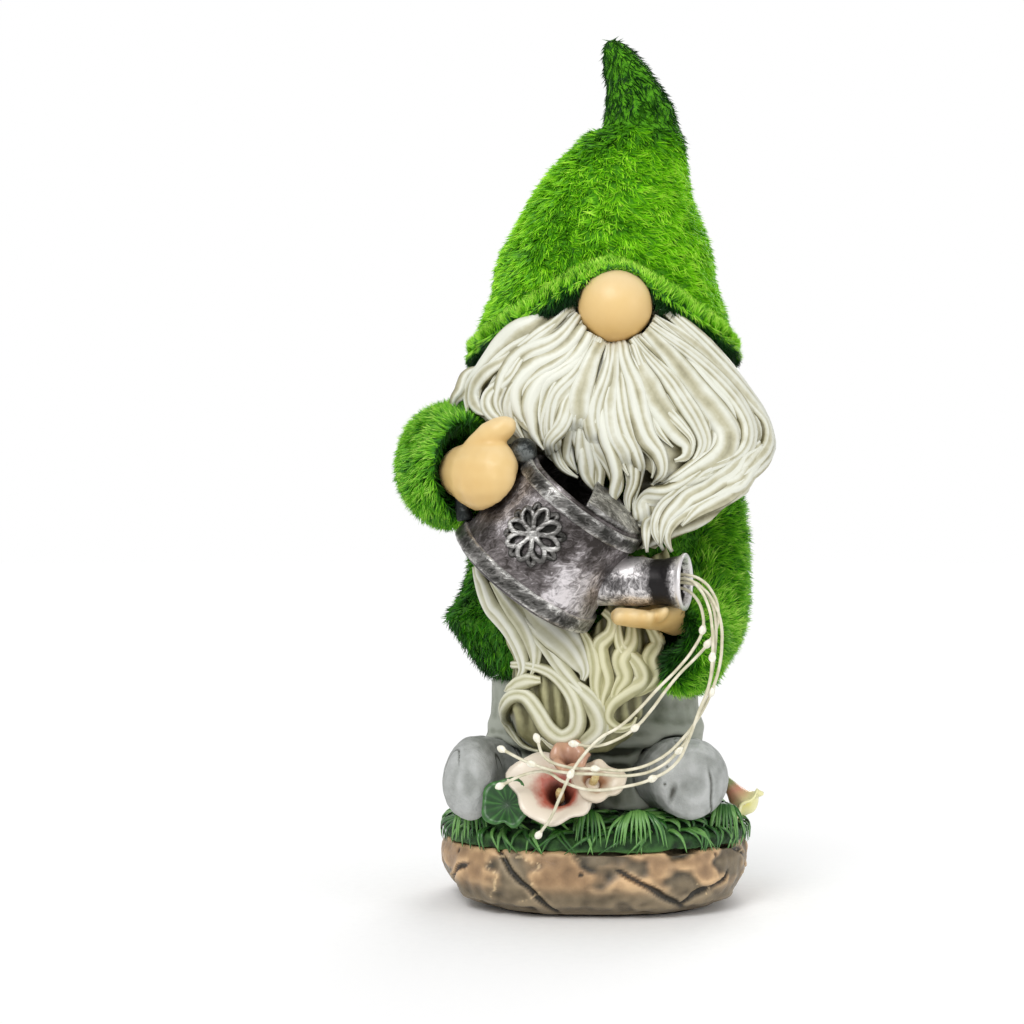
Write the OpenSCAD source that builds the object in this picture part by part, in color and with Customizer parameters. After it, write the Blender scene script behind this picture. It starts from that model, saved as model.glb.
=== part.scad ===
// Garden gnome that pours strands of fine lights from a watering can.
// It faces -Y, stands on Z = 0 and has its origin at the middle of the felt pad under it.
// "right" and "left" are the gnome's own hands: its right hand is at -X.

/* [Base] */
// Width of the rock base
base_w = 94.6; // [92:0.2:97]
// Depth of the rock base
base_d = 80; // [78:1:83]
// Thickness of the felt pad
pad_t = 1.5; // [1:0.1:2]
// Radius of the rubber plug in the pour hole
plug_r = 9; // [7:0.5:11]

/* [Figure] */
// Wall of the cast coat
coat_wall = 5; // [4:0.5:6]
// Diameter of the round nose
nose_d = 22; // [20:0.5:23]

/* [Watering can] */
// Height of the drum
can_h = 33; // [31:0.5:35]
// Diameter of the drum at its floor
can_d_floor = 46.8; // [45:0.2:48]
// Diameter of the drum at its rim
can_d_rim = 38; // [36:0.5:40]
// Sideways tilt of the can as it pours
can_tilt = 37; // [35:1:39]
// Forward lean of the can
can_lean = 12; // [10:1:14]
// Sheet thickness of the can
can_wall = 1.6; // [1.4:0.1:2]
// Outside diameter of the spout where it meets the drum
spout_d = 14.4; // [14:0.2:15]
// Outside diameter of the flared mouth
mouth_d = 16.6; // [16:0.2:17]
// Length of the spout from its root to its mouth
spout_l = 28; // [27:0.5:29]

/* [Light strands] */
// Diameter of one coated strand
strand_d = 0.9; // [0.8:0.1:1.1]
// Diameter of a lamp drop
lamp_d = 2.2; // [2:0.1:2.6]

/* [Solar module] */
// Width of the module's housing
module_w = 54; // [54:0.5:56]
// Height of the module's housing along its slope
module_h = 68; // [68:0.5:70]
// Depth of the housing
module_t = 15; // [15:0.5:16]
// Backward slope of the panel
module_slope = 15; // [14:0.5:16]
// Diameter of the battery cell
cell_d = 10.5; // [10.5:0.1:10.5]
// Length of the battery cell
cell_l = 44.5; // [44.5:0.1:44.5]
// Diameter of the button's cap
button_d = 5; // [4.6:0.1:5.2]

/* [Hidden] */
$fn = 48;

// Sections of the cast shapes: height, left, right, front and back, bottom to top
rock_sections = [
    [0.8, -36, 37, -33, 33], [4, -43.5, 43.5, -38, 38],
    [10, -base_w / 2, base_w / 2, -base_d / 2, base_d / 2],
    [16, -base_w / 2, base_w / 2, -base_d / 2 + 0.5, base_d / 2], [20, -45.5, 45.5, -38.5, 38.5]];
cavity_sections = [[6, -30, 30, -26, 26], [10, -38, 38, -31, 31], [15, -37, 37, -30, 30]];
mound_sections = [
    [20, -46.2, 46, -38.8, 38.8], [24, -46.5, 46, -38.5, 38.5], [27, -43, 43, -35, 35],
    [28.5, -36, 36, -28, 28]];
coat_sections = [
    [68, -33, 36, -24, 33], [73, -38, 42, -28, 38], [80, -42.5, 45, -30, 41],
    [86, -47, 46, -30, 42], [92, -42.5, 45.5, -29, 41.5], [100, -39.5, 43, -28, 39],
    [115, -38, 40, -27, 35], [130, -37, 39, -26, 31], [145, -36, 38, -25, 27],
    [155, -34, 36, -24, 25], [160, -32, 34, -23, 24]];
head_sections = [
    [160, -31, 33, -26, 25], [170, -34, 37, -29, 30], [180, -32, 36, -29, 31],
    [190, -29, 34, -27, 29], [200, -25, 31, -23, 26], [210, -16, 23, -15, 18],
    [214, -8, 14, -7, 9]];
hat_sections = [
    [157, -34, 39, -30, 35.5], [166, -36.5, 42, -35, 38], [172, -37.3, 42.6, -37, 39],
    [178, -35.5, 41.5, -37, 38.5], [187, -32, 38.5, -35, 36.5], [195, -30.8, 37, -33, 34.5],
    [201, -28.4, 36, -31, 32.5], [207, -25, 34, -28, 30], [216, -20.5, 30.5, -24, 27],
    [223, -15.8, 29.2, -20, 24], [230, -9.5, 28.9, -16.5, 20.5], [235, -4, 28, -14, 17],
    [239, 2.2, 26.8, -10, 14], [245, 3, 25, -9.5, 12], [251, 3.4, 21, -8, 9.5],
    [257, 2.5, 17, -6.5, 8], [262, 2.2, 12.4, -5, 5.5], [265, 3, 8.5, -2.6, 2.8],
    [266, 4.6, 6.6, -1, 1]];
beard_upper_sections = [
    [107, -6, 17, -35, -24], [113, -15, 24, -37, -20], [119, -22, 33.5, -39, -14],
    [126, -28, 42.5, -40, -8], [133, -34, 48.5, -41, -4], [140, -38.5, 49.5, -41, -2],
    [148, -40, 47, -40, 0], [156, -38, 43, -39, 0], [164, -34, 39.5, -38, -4],
    [172, -29, 34, -37, -10], [180, -16, 24, -34, -20]];
beard_lower_sections = [
    [47, -18, 4, -33, -18], [52, -25, 11, -35, -14], [60, -28, 15, -36, -12],
    [68, -27, 18, -36, -14], [76, -26, 20, -36, -16], [84, -30, 21.5, -35, -18],
    [94, -34.5, 21.5, -34, -20], [104, -36, 23, -33, -20], [112, -30, 20, -30, -20]];
trouser_right_sections = [
    [28.6, -20, -1, -16, 11], [42, -31, -2, -13, 11], [46, -33, -2, -14, 13], [50, -34, -1.5, -16, 15],
    [54, -33, -2, -15, 14], [60, -32, -2, -14, 13], [68, -32, -2, -15, 14]];
trouser_left_sections = [
    [28.6, 1, 20, -16, 11], [42, 0, 29, -13, 11], [46, 0, 31, -14, 13], [50, -0.5, 34, -17, 15],
    [54, 0, 33.5, -16, 14], [60, 0, 32, -14, 13], [68, 0, 33, -15, 14]];

// Swept shapes: place, then the half width across and the half height of the section there
boot_right_path = [
    [-19, 11, 37, 6, 8], [-21, 4, 38, 9, 10], [-29, -8, 38.5, 9, 11], [-35.5, -18, 40, 8.8, 12],
    [-38, -28, 40, 8.4, 12], [-38.2, -34, 40, 7.6, 11], [-38.4, -37, 40, 5.4, 8.5],
    [-38.5, -38.4, 40, 3, 5]];
boot_left_path = [
    [18, 11, 37, 6, 8], [19, 4, 38, 10, 10], [22, -8, 38.5, 11.5, 11], [25.5, -19, 40, 12.6, 12],
    [26.5, -29, 40, 12.2, 11.5], [26.8, -34.5, 39.5, 10.4, 10.5], [27, -37, 39.5, 8, 8],
    [27, -38.4, 39.5, 4.5, 4.5]];
sleeve_right_path = [
    [-26, 5, 140, 10, 12], [-37, -1, 138, 15, 16], [-44, -12, 133.5, 16, 18.5],
    [-43, -24, 132, 15.5, 17.5], [-38, -33, 131.5, 12.5, 15]];
cuff_right_path = [[-42, -25, 132, 9, 10], [-38, -33, 131.5, 10.5, 12.5], [-34, -42, 131, 11, 13]];
sleeve_left_path = [
    [33, 3, 136, 9, 10], [34, -3, 120, 12, 12], [34, -9, 102, 12.5, 13], [32, -16, 88, 13, 13],
    [27, -25, 81, 12.5, 12.5], [21, -34, 80.5, 11.5, 11.5]];
cuff_left_path = [[29, -26, 82, 7, 7], [22.5, -33, 84, 7.5, 7.5], [16, -40, 86, 8, 8]];
palm_right_path = [
    [-41, -28, 131, 7.5, 7.5], [-36, -37, 130, 9, 10], [-31, -42, 129, 9, 11],
    [-27, -45, 128.5, 7, 9], [-24, -46, 128.5, 3, 5]];
thumb_right_path = [
    [-37, -38, 136, 4, 4], [-32, -42, 141, 4.2, 4.2], [-27, -43.5, 143.5, 3.6, 3.6],
    [-24.5, -44, 144, 1.6, 1.6]];
palm_left_path = [
    [25, -29, 83.5, 5.5, 5], [19.5, -35.5, 87, 6, 4.2], [13, -40.5, 88.6, 6.2, 3.4],
    [7, -43, 89, 5.8, 3.1], [3.5, -44, 89.6, 3.2, 2.2]];
beard_lock_path = [
    [46, -20, 140, 3, 3.5], [43.5, -29, 132, 5.5, 5.5], [35.5, -36.5, 124, 5, 5.5],
    [25, -40, 117.5, 4.5, 5.5], [15.5, -41, 111.5, 4, 4.5], [10, -40, 107.5, 1.5, 2]];

// The coat's hollow lies between the ends of the two sleeves
hollow_w = 31;
hollow_x = 1.5;

// The can's own frame
can_at = [-22.8, -32.7, 98.4];
spout_at = [-2, -37.5, 99];
spout_yaw = 19;
spout_bore_d = spout_d - 2 * 1.4;
band_t = 1.2;

band_floor_z = [1, 5.5];
band_rim_z = [can_h - 5, can_h - 0.8];
handle_path = [
    [-can_d_rim / 2 - 2.4, 0, can_h - 2.6, 2.6, 2.6], [-26, 0, can_h - 2, 2.3, 2.3],
    [-31, 0, can_h - 7, 2.2, 2.2], [-33, 0, can_h - 14, 2.2, 2.2], [-32, 0, can_h - 21, 2.2, 2.2],
    [-28.6, 0, 7.5, 2.3, 2.3], [-can_d_floor / 2 - 1.8, 0, 4.5, 2.4, 2.4]];
rosette_z = 18;

// Calla lilies: depth of the funnels, and the two ends of each stem
large_depth = 11.5;
large_throat = large_depth * 0.2;
small_throat = 2;
side_throat = 2.7;
large_stem = [[-11, -34.2, 33.4], [-10, -30, 24]];
small_stem = [[-3.9, -35.6, 37.3], [-4, -30, 24]];
side_stem = [[37.6, -8.8, 38], [36, -9.5, 24]];

// Strand routes, from inside the spout to the free end
strand_a_route = [
    [13, -42.6, 100.5], [19, -44.7, 100.9], [24.5, -46.8, 101], [28.5, -48.3, 99.5],
    [31.5, -49.3, 96], [33, -50, 91], [32.5, -50, 86], [30, -50, 81.5], [26.5, -50, 77.5],
    [22, -50, 73], [18, -49.5, 68], [14, -49, 62.5], [9.5, -48.5, 57.5], [4, -48.5, 54],
    [-2, -48.8, 52.3], [-8, -49, 53]];
strand_b_route = [
    [13, -43.6, 98.5], [19, -45.9, 98.7], [24.5, -48, 98.7], [28.5, -50, 97.3],
    [31.5, -51.5, 93.5], [33.5, -52, 88], [33.8, -52.2, 81.5], [33, -52.6, 75],
    [30.8, -52.3, 68], [27.5, -51, 61], [23, -49.3, 54.5], [16.5, -47.5, 48.5], [8, -48, 45.5],
    [-2, -50, 46], [-11, -50.5, 46.8], [-16.5, -50, 49.5], [-18.5, -49, 54.5]];
strand_c_route = [
    [13, -42, 99.5], [19, -43.9, 99.8], [25, -46, 99.5], [28.5, -48.5, 97.5], [31, -50.2, 93.5],
    [32.2, -51, 87.5], [32, -51.2, 80.5], [31, -51, 73], [29, -50.3, 65.5], [26, -49, 58],
    [22, -47.8, 51], [16, -47.2, 45.8], [8, -48, 43.8], [-1, -50.8, 44.6], [-11, -51.6, 45.2],
    [-20, -50, 47.4], [-28.5, -45.5, 51]];
strand_d_route = [
    [13, -44.2, 99.5], [19, -46.4, 99.9], [24.5, -48.5, 99.8], [27.3, -50.8, 97.6],
    [29.8, -51.8, 93], [31, -53, 86], [31, -53.3, 78], [30, -53.4, 70], [27, -53, 62],
    [24.5, -51.3, 54.5], [21, -49.8, 47.5], [14.5, -48.4, 43], [6, -49.6, 40.8],
    [-4, -51.4, 40.3], [-11, -51.6, 42.5], [-16, -48.8, 45], [-22, -47.2, 44],
    [-29, -45.5, 40.5]];
strand_e_route = [
    [13, -42.8, 97.8], [18.5, -44.8, 97.5], [23.8, -47, 96.9], [26.8, -48.3, 94.5],
    [28.6, -48.9, 90.5], [28.7, -49, 85.5], [26, -49.4, 80], [21.5, -50.2, 74.5], [16, -50.4, 69],
    [10.5, -50.2, 63], [5, -49.8, 58], [-0.5, -50.2, 54.8], [-5, -51.6, 50.5], [-9, -53.2, 45],
    [-12, -53.2, 38.5], [-14.5, -51.5, 32.5], [-18, -48.5, 27]];
strand_routes = [strand_a_route, strand_b_route, strand_c_route, strand_d_route, strand_e_route];
// Points of each route that carry a lamp drop, besides its free end
lamp_points = [[7, 12], [8, 13], [10, 15], [6, 11], [5, 13]];
lead_route = [
    [0, 23.4, 125.4], [0, 17, 123.8], [0, 10, 121], [1, 0, 114], [2, -10, 106], [3.5, -20, 101],
    [5, -29, 99.4], [6.5, -36, 99.2], [10, -41, 99.2]];

// The module's own frame and the places inside it
module_at = [0, 34, 118];
panel_w = 50;
panel_h = 36;
panel_t = 2.2;
panel_y = 14;
skin_t = 1.8;
bay_y = -13.5;
bay_w = 49.4;
bay_h = 12.6;
contact_t = 0.5;
cell_x = bay_w / 2 - 0.1 - contact_t - cell_l;
door_gap = 0.3;
screw_x = 16;
screw_y = -21.6;
button_y = -29;
back_t = 1.6;

// ---- Curves and swept solids ----

function blend_point(a, b, c, d, t) =
    0.5 * (2 * b + (c - a) * t + (2 * a - 5 * b + 4 * c - d) * t * t
    + (3 * b - a - 3 * c + d) * t * t * t);

// Catmull-Rom curve through the keys, with a number of steps between two keys
function smooth(keys, steps) = let (last = len(keys) - 1) concat(
    [for (i = [0:last - 1], j = [0:steps - 1])
        blend_point(keys[max(i - 1, 0)], keys[i], keys[i + 1], keys[min(i + 2, last)], j / steps)],
    [keys[last]]);

function signed_power(v, e) = sign(v) * pow(abs(v), e);

// One level section of a cast shape as a superellipse
function level_ring(k, sides, squareness, grow = 0) =
    let (cx = (k[1] + k[2]) / 2, cy = (k[3] + k[4]) / 2,
         rx = (k[2] - k[1]) / 2 + grow, ry = (k[4] - k[3]) / 2 + grow, e = 2 / squareness)
    [for (i = [0:sides - 1]) let (a = 360 * i / sides)
        [cx + rx * signed_power(cos(a), e), cy + ry * signed_power(sin(a), e), k[0]]];

function unit(v) = v / norm(v);

// One section of a swept shape, square to its path
function path_ring(keys, i, sides, up) =
    let (last = len(keys) - 1, here = keys[i], a = keys[max(i - 1, 0)], b = keys[min(i + 1, last)],
         along = unit([b[0] - a[0], b[1] - a[1], b[2] - a[2]]),
         side = unit(cross(up, along)), over = cross(along, side))
    [for (j = [0:sides - 1]) let (t = 360 * j / sides)
        [here[0], here[1], here[2]] + here[3] * cos(t) * side + here[4] * sin(t) * over];

// Solid through a stack of rings that all have the same number of points
module ring_solid(rings) {
    n = len(rings[0]);
    top = len(rings) - 1;
    walls = [for (k = [0:top - 1], i = [0:n - 1], half = [0, 1])
        let (j = (i + 1) % n, a = k * n + i, b = (k + 1) * n + i, c = (k + 1) * n + j, d = k * n + j)
        half == 0 ? [a, b, c] : [a, c, d]];
    floor_face = [for (i = [0:n - 1]) i];
    roof_face = [for (i = [0:n - 1]) top * n + n - 1 - i];
    polyhedron(points = [for (ring = rings) each ring], faces = concat([floor_face, roof_face], walls));
}

// Solid whose last ring joins its first one
module ring_loop(rings) {
    n = len(rings[0]);
    count = len(rings);
    walls = [for (k = [0:count - 1], i = [0:n - 1], half = [0, 1])
        let (j = (i + 1) % n, m = (k + 1) % count,
             a = k * n + i, b = m * n + i, c = m * n + j, d = k * n + j)
        half == 0 ? [a, b, c] : [a, c, d]];
    polyhedron(points = [for (ring = rings) each ring], faces = walls);
}

module cast(sections, sides = 28, steps = 1, squareness = 2.4, grow = 0)
    ring_solid([for (k = smooth(sections, steps)) level_ring(k, sides, squareness, grow)]);

module swept(path, sides = 16, steps = 2, up = [0, 0, 1]) {
    keys = smooth(path, steps);
    ring_solid([for (i = [0:len(keys) - 1]) path_ring(keys, i, sides, up)]);
}

// Round strand of one thickness along a route
module strand(route, d, steps = 1) {
    keys = smooth([for (p = route) [p[0], p[1], p[2], d / 2, d / 2]], steps);
    ring_solid([for (i = [0:len(keys) - 1]) path_ring(keys, i, 8, [0.3, -1, 0.1])]);
}

// Cast and modelled shapes are evaluated as one mesh, so that they meet face to face
module one_mesh() resize([0, 0, 0]) children();

module on_can() translate(can_at) rotate([can_lean, can_tilt, 0]) children();
module on_spout() translate(spout_at) rotate([0, 90, -spout_yaw]) children();
module on_module() translate(module_at) rotate([90 - module_slope, 0, 180]) children();

module coat_shape() cast(coat_sections, 32, 1, 2.6);
module head_shape() cast(head_sections, 28, 1, 2.2);
module beard_upper_shape() cast(beard_upper_sections, 32, 1, 2.3);
module beard_lock_shape() swept(beard_lock_path, 14, 2);
module trouser_right_shape() cast(trouser_right_sections, 20, 2, 2.2);
module trouser_left_shape() cast(trouser_left_sections, 20, 2, 2.2);

module block(size, at) translate(at - [size[0] / 2, size[1] / 2, 0]) cube(size);

// ---- Base ----

module rock_base() color("rosybrown") one_mesh() difference() {
    cast(rock_sections, 36, 1, 2.6);
    cast(cavity_sections, 24, 1, 2.6);
    cylinder(r = plug_r, h = 8, $fn = 32);
    translate([0, 0, -0.2]) linear_extrude(pad_t + 0.2) pad_outline(0);
}

module pad_outline(grow)
    polygon([for (p = level_ring([0, -33, 34, -30, 30], 48, 2.6, grow)) [p[0], p[1]]]);

module base_pad() color("dimgray") linear_extrude(pad_t) pad_outline(-0.1);

module pour_plug() color("black") rotate_extrude()
    polygon([[0, pad_t], [plug_r - 0.2, pad_t], [plug_r - 0.5, 7], [plug_r - 2, 7], [plug_r - 2.5, 3],
        [0, 3]]);

module grass_mound() color("darkgreen") one_mesh() difference() {
    cast(mound_sections, 36, 1, 2.6);
    boot_right_shape();
    boot_left_shape();
    side_lily_shape();
    for (ends = [large_stem, small_stem, side_stem]) stem(ends);
}

// Three blades side by side that curve out over the edge of the mound
module tuft(a) for (side = [-1, 0, 1])
    translate([43.5 * cos(a), 36.5 * sin(a), 24.5]) rotate([0, 0, a + 90]) translate([2.8 * side, 0, 0])
        rotate([0, 0, 14 * side]) swept([[0, 1, -2, 1.1, 1.1], [0, -1, 2.6, 1, 0.8],
            [0, -3.4, 3.2, 0.8, 0.6], [0, -5.4, 1.6, 0.4, 0.4]], 5, 1, [1, 0, 0]);

module grass_tufts() color("forestgreen")
    for (a = [186:20:326]) tuft(a);

module round_leaf() color("seagreen") one_mesh() difference() {
    translate([-26.5, -37.5, 33.5]) rotate([68, 0, -12]) rotate_extrude()
        polygon([[0, 0], [3.5, 0.5], [6.6, 2], [6.4, 2.8], [3.4, 1.5], [0, 1.1]]);
    lily_large_shape();
}

// ---- Calla lilies ----

// Flared funnel of a calla flower, opening along +Z, and the stem behind it
module funnel(r, depth, wall = 1.1) rotate_extrude($fn = 20)
    polygon([[0, 0], [r * 0.28, 0], [r * 0.42, depth * 0.4], [r * 0.68, depth * 0.75], [r, depth],
        [r - wall, depth + 0.3], [r * 0.68 - wall, depth * 0.82], [r * 0.42 - wall, depth * 0.5],
        [r * 0.28 - wall * 0.5, depth * 0.2], [0, depth * 0.2]]);

module spadix(l, d) rotate_extrude()
    polygon([[0, 0], [d * 0.3, 0], [d / 2, l * 0.3], [d / 2, l * 0.8], [d * 0.3, l * 0.97], [0, l]]);

module at_lily_large() translate([-11, -34.5, 33]) rotate([49, 0, -8]) children();
module at_lily_small() translate([-3.8, -36, 37]) rotate([52, 0, 18]) children();
module at_lily_bud() translate([-9.3, -37.5, 42]) rotate([30, 0, 4]) children();
module at_side_lily() translate([38.5, -9, 38.5]) rotate([0, 140, -18]) children();

module lily_large_shape() at_lily_large() funnel(11.6, large_depth);
module lily_small_shape() at_lily_small() funnel(6.6, 10);
module side_lily_shape() at_side_lily() funnel(6.4, 13.5);

module stem(ends) hull() for (end = ends) translate(end) sphere(1.5, $fn = 14);

module lily_large() color("mistyrose") one_mesh() difference() {
    union() {
        lily_large_shape();
        stem(large_stem);
    }
    at_lily_large() translate([0, 0, large_throat]) cylinder(r = 1.6, h = 8, $fn = 14);
}

module lily_large_spadix() color("khaki")
    at_lily_large() translate([0, 0, large_throat]) spadix(7, 2.6);

module lily_small() color("lavenderblush") one_mesh() difference() {
    union() {
        lily_small_shape();
        stem(small_stem);
    }
    at_lily_small() translate([0, 0, small_throat]) cylinder(r = 1.4, h = 7, $fn = 14);
    lily_large_shape();
}

module lily_small_spadix() color("moccasin") one_mesh() difference() {
    at_lily_small() translate([0, 0, small_throat]) spadix(8.5, 2.4);
    lily_large_shape();
}

module lily_bud() color("rosybrown") one_mesh() difference() {
    at_lily_bud() funnel(5, 8.5);
    lily_large_shape();
    lily_small_shape();
}

module side_lily() color("gold") one_mesh() difference() {
    union() {
        side_lily_shape();
        stem(side_stem);
    }
    at_side_lily() translate([0, 0, side_throat]) cylinder(r = 1.4, h = 7, $fn = 14);
    boot_left_shape();
}

module side_lily_spadix() color("khaki")
    at_side_lily() translate([0, 0, side_throat]) spadix(8, 2.2);

// ---- Legs ----

module boot_right_shape() {
    swept(boot_right_path, 20, 2);
    translate([-20, 1, 38]) cylinder(r = 9.5, h = 8, $fn = 24);
}

module boot_left_shape() {
    swept(boot_left_path, 20, 2);
    translate([19, 1, 38]) cylinder(r = 9.5, h = 8, $fn = 24);
}

// Trims what a boot has below its sole
module sole_cut() block([120, 100, 20], [0, 0, 8]);

module boot_right() color("darkgray") one_mesh() difference() {
    boot_right_shape();
    sole_cut();
}

module boot_left() color("darkgray") one_mesh() difference() {
    boot_left_shape();
    sole_cut();
}

module trouser_right() color("slategray") one_mesh() difference() {
    trouser_right_shape();
    boot_right_shape();
}

module trouser_left() color("slategray") one_mesh() difference() {
    trouser_left_shape();
    boot_left_shape();
}

// ---- Coat, arms and hands ----

module module_pocket(grow) on_module()
    block([module_w + 2 * grow, module_h + 2 * grow, module_t + 40], [0, 0, -module_t - grow]);

module module_surround() on_module() translate([0, 0, -14]) linear_extrude(12.8) offset(4)
    square([module_w, module_h], center = true);

module coat() color("yellowgreen") one_mesh() difference() {
    union() {
        coat_shape();
        module_surround();
    }
    module_pocket(0.2);
    difference() {
        intersection() {
            cast(coat_sections, 20, 1, 2.6, -coat_wall);
            block([hollow_w, 100, 82], [hollow_x, 0, 73]);
        }
        can_room(4);
        on_module() block([module_w + 8, module_h + 8, module_t + 40], [0, 0, -module_t - 4]);
    }
    can_room(0);
    cover_room();
    spout_room(0);
    hand_left_room();
    sleeve_right_shape();
    sleeve_left_shape();
    strand(lead_route, 2.4, 2);
    lead_exit();
}

// Clear way for the lead between the housing and the coat's hollow
module lead_exit() on_module() translate([0, 10, -30]) cylinder(d = 6, h = 20, $fn = 20);

module sleeve_right_shape() swept(sleeve_right_path, 22, 2);
module sleeve_left_shape() swept(sleeve_left_path, 22, 2, [0, 1, 0]);

module hand_right_shape() {
    swept(palm_right_path, 14, 2);
    swept(thumb_right_path, 10, 2);
}

module hand_left_shape() {
    swept(palm_left_path, 14, 2);
    // Fingers that hook up in front of the spout
    for (i = [0:3])
        swept([[5 + 4.2 * i, -41, 88.2, 2.2, 2], [5 + 4.2 * i, -45.4, 88.5, 2.2, 2],
            [5.3 + 4.2 * i, -47.2, 89.6, 2, 1.8], [5.3 + 4.2 * i, -47.4, 90.6, 1, 1]],
            8, 2, [1, 0, 0]);
}

// Room in the coat behind the left hand
module hand_left_room() hull() {
    translate([25, -29, 83]) sphere(7.4, $fn = 24);
    translate([7, -44, 88]) sphere(7.4, $fn = 24);
}

module sleeve_right() color("limegreen") one_mesh() difference() {
    sleeve_right_shape();
    swept(cuff_right_path, 20, 2);
    hand_right_shape();
    can_room(0);
    handle_shape();
}

module sleeve_left() color("limegreen") one_mesh() difference() {
    sleeve_left_shape();
    swept(cuff_left_path, 20, 2);
    hand_left_shape();
    can_room(0);
    spout_room(0);
}

module hand_right() color("burlywood") one_mesh() difference() {
    hand_right_shape();
    handle_shape();
    can_room(0);
}

module hand_left() color("burlywood") one_mesh() difference() {
    hand_left_shape();
    can_room(0);
    spout_room(0);
}

// ---- Head, hat and nose ----

module at_nose() translate([4.6, -34, 179.3]) children();

// What the nose takes out of its neighbours
module nose_room() at_nose() sphere(d = nose_d + 0.1, $fn = 32);

module nose() color("burlywood") at_nose() sphere(d = nose_d);

module head() color("antiquewhite") one_mesh() difference() {
    head_shape();
    cast(head_sections, 20, 1, 2.2, -4);
    nose_room();
}

// Height of the brim's middle at an angle round the head
function brim_z(a) = sin(a) < 0 ? 192.2 - 23.9 * sqrt(pow(cos(a), 2) + 0.03) : 168 - 10 * sin(a);

function brim_ring(a) = [for (j = [0:9]) let (t = 360 * j / 10, out = 3.9 * cos(t), rise = 5.2 * sin(t))
    [2.8 + (38.6 + out) * cos(a), 1 + (37.4 + out) * sin(a), brim_z(a) + rise]];

module brim_shape() ring_loop([for (i = [0:39]) brim_ring(-360 * i / 40)]);

module hat_brim() color("green") one_mesh() difference() {
    brim_shape();
    head_shape();
    nose_room();
}

module hat_crown() color("yellowgreen") one_mesh() difference() {
    cast(hat_sections, 32, 1, 2.2);
    head_shape();
    brim_shape();
    nose_room();
    beard_upper_shape();
    // The arch over the face
    translate([0, 1, 0]) rotate([90, 0, 0]) linear_extrude(60)
        polygon([[-50, 150], [-50, 162], [-36.3, 167.3], [-2, 187.6], [7.6, 187.5],
            [42.3, 167.2], [55, 162], [55, 150]]);
    // The lower edge round the back
    rotate([90, 0, 90]) linear_extrude(120, center = true)
        polygon([[0.7, 150], [0.7, 168.2], [41, 158.6], [50, 150]]);
}

// ---- Beard ----

// Everything that the beard lies against
module beard_neighbours() {
    coat_shape();
    head_shape();
    nose_room();
    brim_shape();
    sleeve_right_shape();
    sleeve_left_shape();
    hand_right_shape();
    hand_left_shape();
    handle_shape();
    can_room(0);
    can_mouth_room();
    cover_room();
    spout_room(0);
}

module beard_upper() color("ivory") one_mesh() difference() {
    beard_upper_shape();
    beard_neighbours();
}

module beard_lock() color("ivory") one_mesh() difference() {
    beard_lock_shape();
    beard_neighbours();
    beard_upper_shape();
}

module beard_lower() color("beige") one_mesh() difference() {
    cast(beard_lower_sections, 28, 1, 2.3);
    beard_neighbours();
    beard_upper_shape();
    beard_lock_shape();
    trouser_right_shape();
    trouser_left_shape();
    boot_right_shape();
    boot_left_shape();
    strand(lead_route, 2.4, 2);
}

// ---- Watering can ----

function can_r(z) = (can_d_floor + (can_d_rim - can_d_floor) * z / can_h) / 2;

// Room that the can takes out of what it is set into
module can_room(grow) on_can() translate([0, 0, -0.2 - grow])
    cylinder(r1 = can_d_floor / 2 + band_t + 0.3 + grow, r2 = can_d_rim / 2 + band_t + 0.3 + grow,
        h = can_h + 0.4 + 2 * grow, $fn = 40);

// Free space over the can's open mouth
module can_mouth_room() on_can() translate([0, 0, can_h]) cylinder(d = can_d_rim - 4, h = 14, $fn = 32);

// Room for the cover over the mouth
module cover_room() on_can() translate([0, 0, can_h]) rotate_extrude($fn = 40)
    polygon([[0, -1], [can_d_rim / 2 + 0.4, -1], [can_d_rim / 2 + 0.4, 1.6], [14.3, 3.3], [9, 4.4],
        [0, 5.2]]);

module spout_room(grow) on_spout() translate([0, 0, -4])
    cylinder(d = mouth_d + 2 * grow + 0.2, h = spout_l + 5, $fn = 32);

module can_drum() color("dimgray") difference() {
    on_can() rotate_extrude() polygon([[0, 0], [can_r(0), 0], [can_r(can_h), can_h],
        [can_r(can_h) - can_wall, can_h], [can_r(2) - can_wall, 2], [0, 2]]);
    on_spout() translate([0, 0, -2]) cylinder(d = spout_d, h = 22);
}

module band(z) on_can() rotate_extrude() polygon([[can_r(z[0]), z[0]], [can_r(z[0]) + band_t, z[0]],
    [can_r(z[1]) + band_t, z[1]], [can_r(z[1]), z[1]]]);

module can_band_rim() color("gray") band(band_rim_z);
module can_band_floor() color("gray") band(band_floor_z);

// Half cover over the spout side of the mouth
module can_cover() color("gray") on_can() translate([0, 0, can_h]) rotate([0, 0, -90])
    rotate_extrude(angle = 180) polygon([[0.01, 3.4], [9, 2.6], [14, 1.5], [can_d_rim / 2, 0],
        [can_d_rim / 2, 1.3], [14, 2.8], [9, 3.9], [0.01, 4.7]]);

module handle_shape() on_can() {
    swept(handle_path, 10, 2, [0, 1, 0]);
    translate([-can_d_rim / 2 - 3.4, -1, can_h - 1]) sphere(d = 8.4, $fn = 24);
}

module can_handle() color("darkslategray") one_mesh() difference() {
    handle_shape();
    on_can() cylinder(r1 = can_d_floor / 2 + band_t + 0.05, r2 = can_d_rim / 2 + band_t + 0.05,
        h = can_h, $fn = 64);
}

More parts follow.
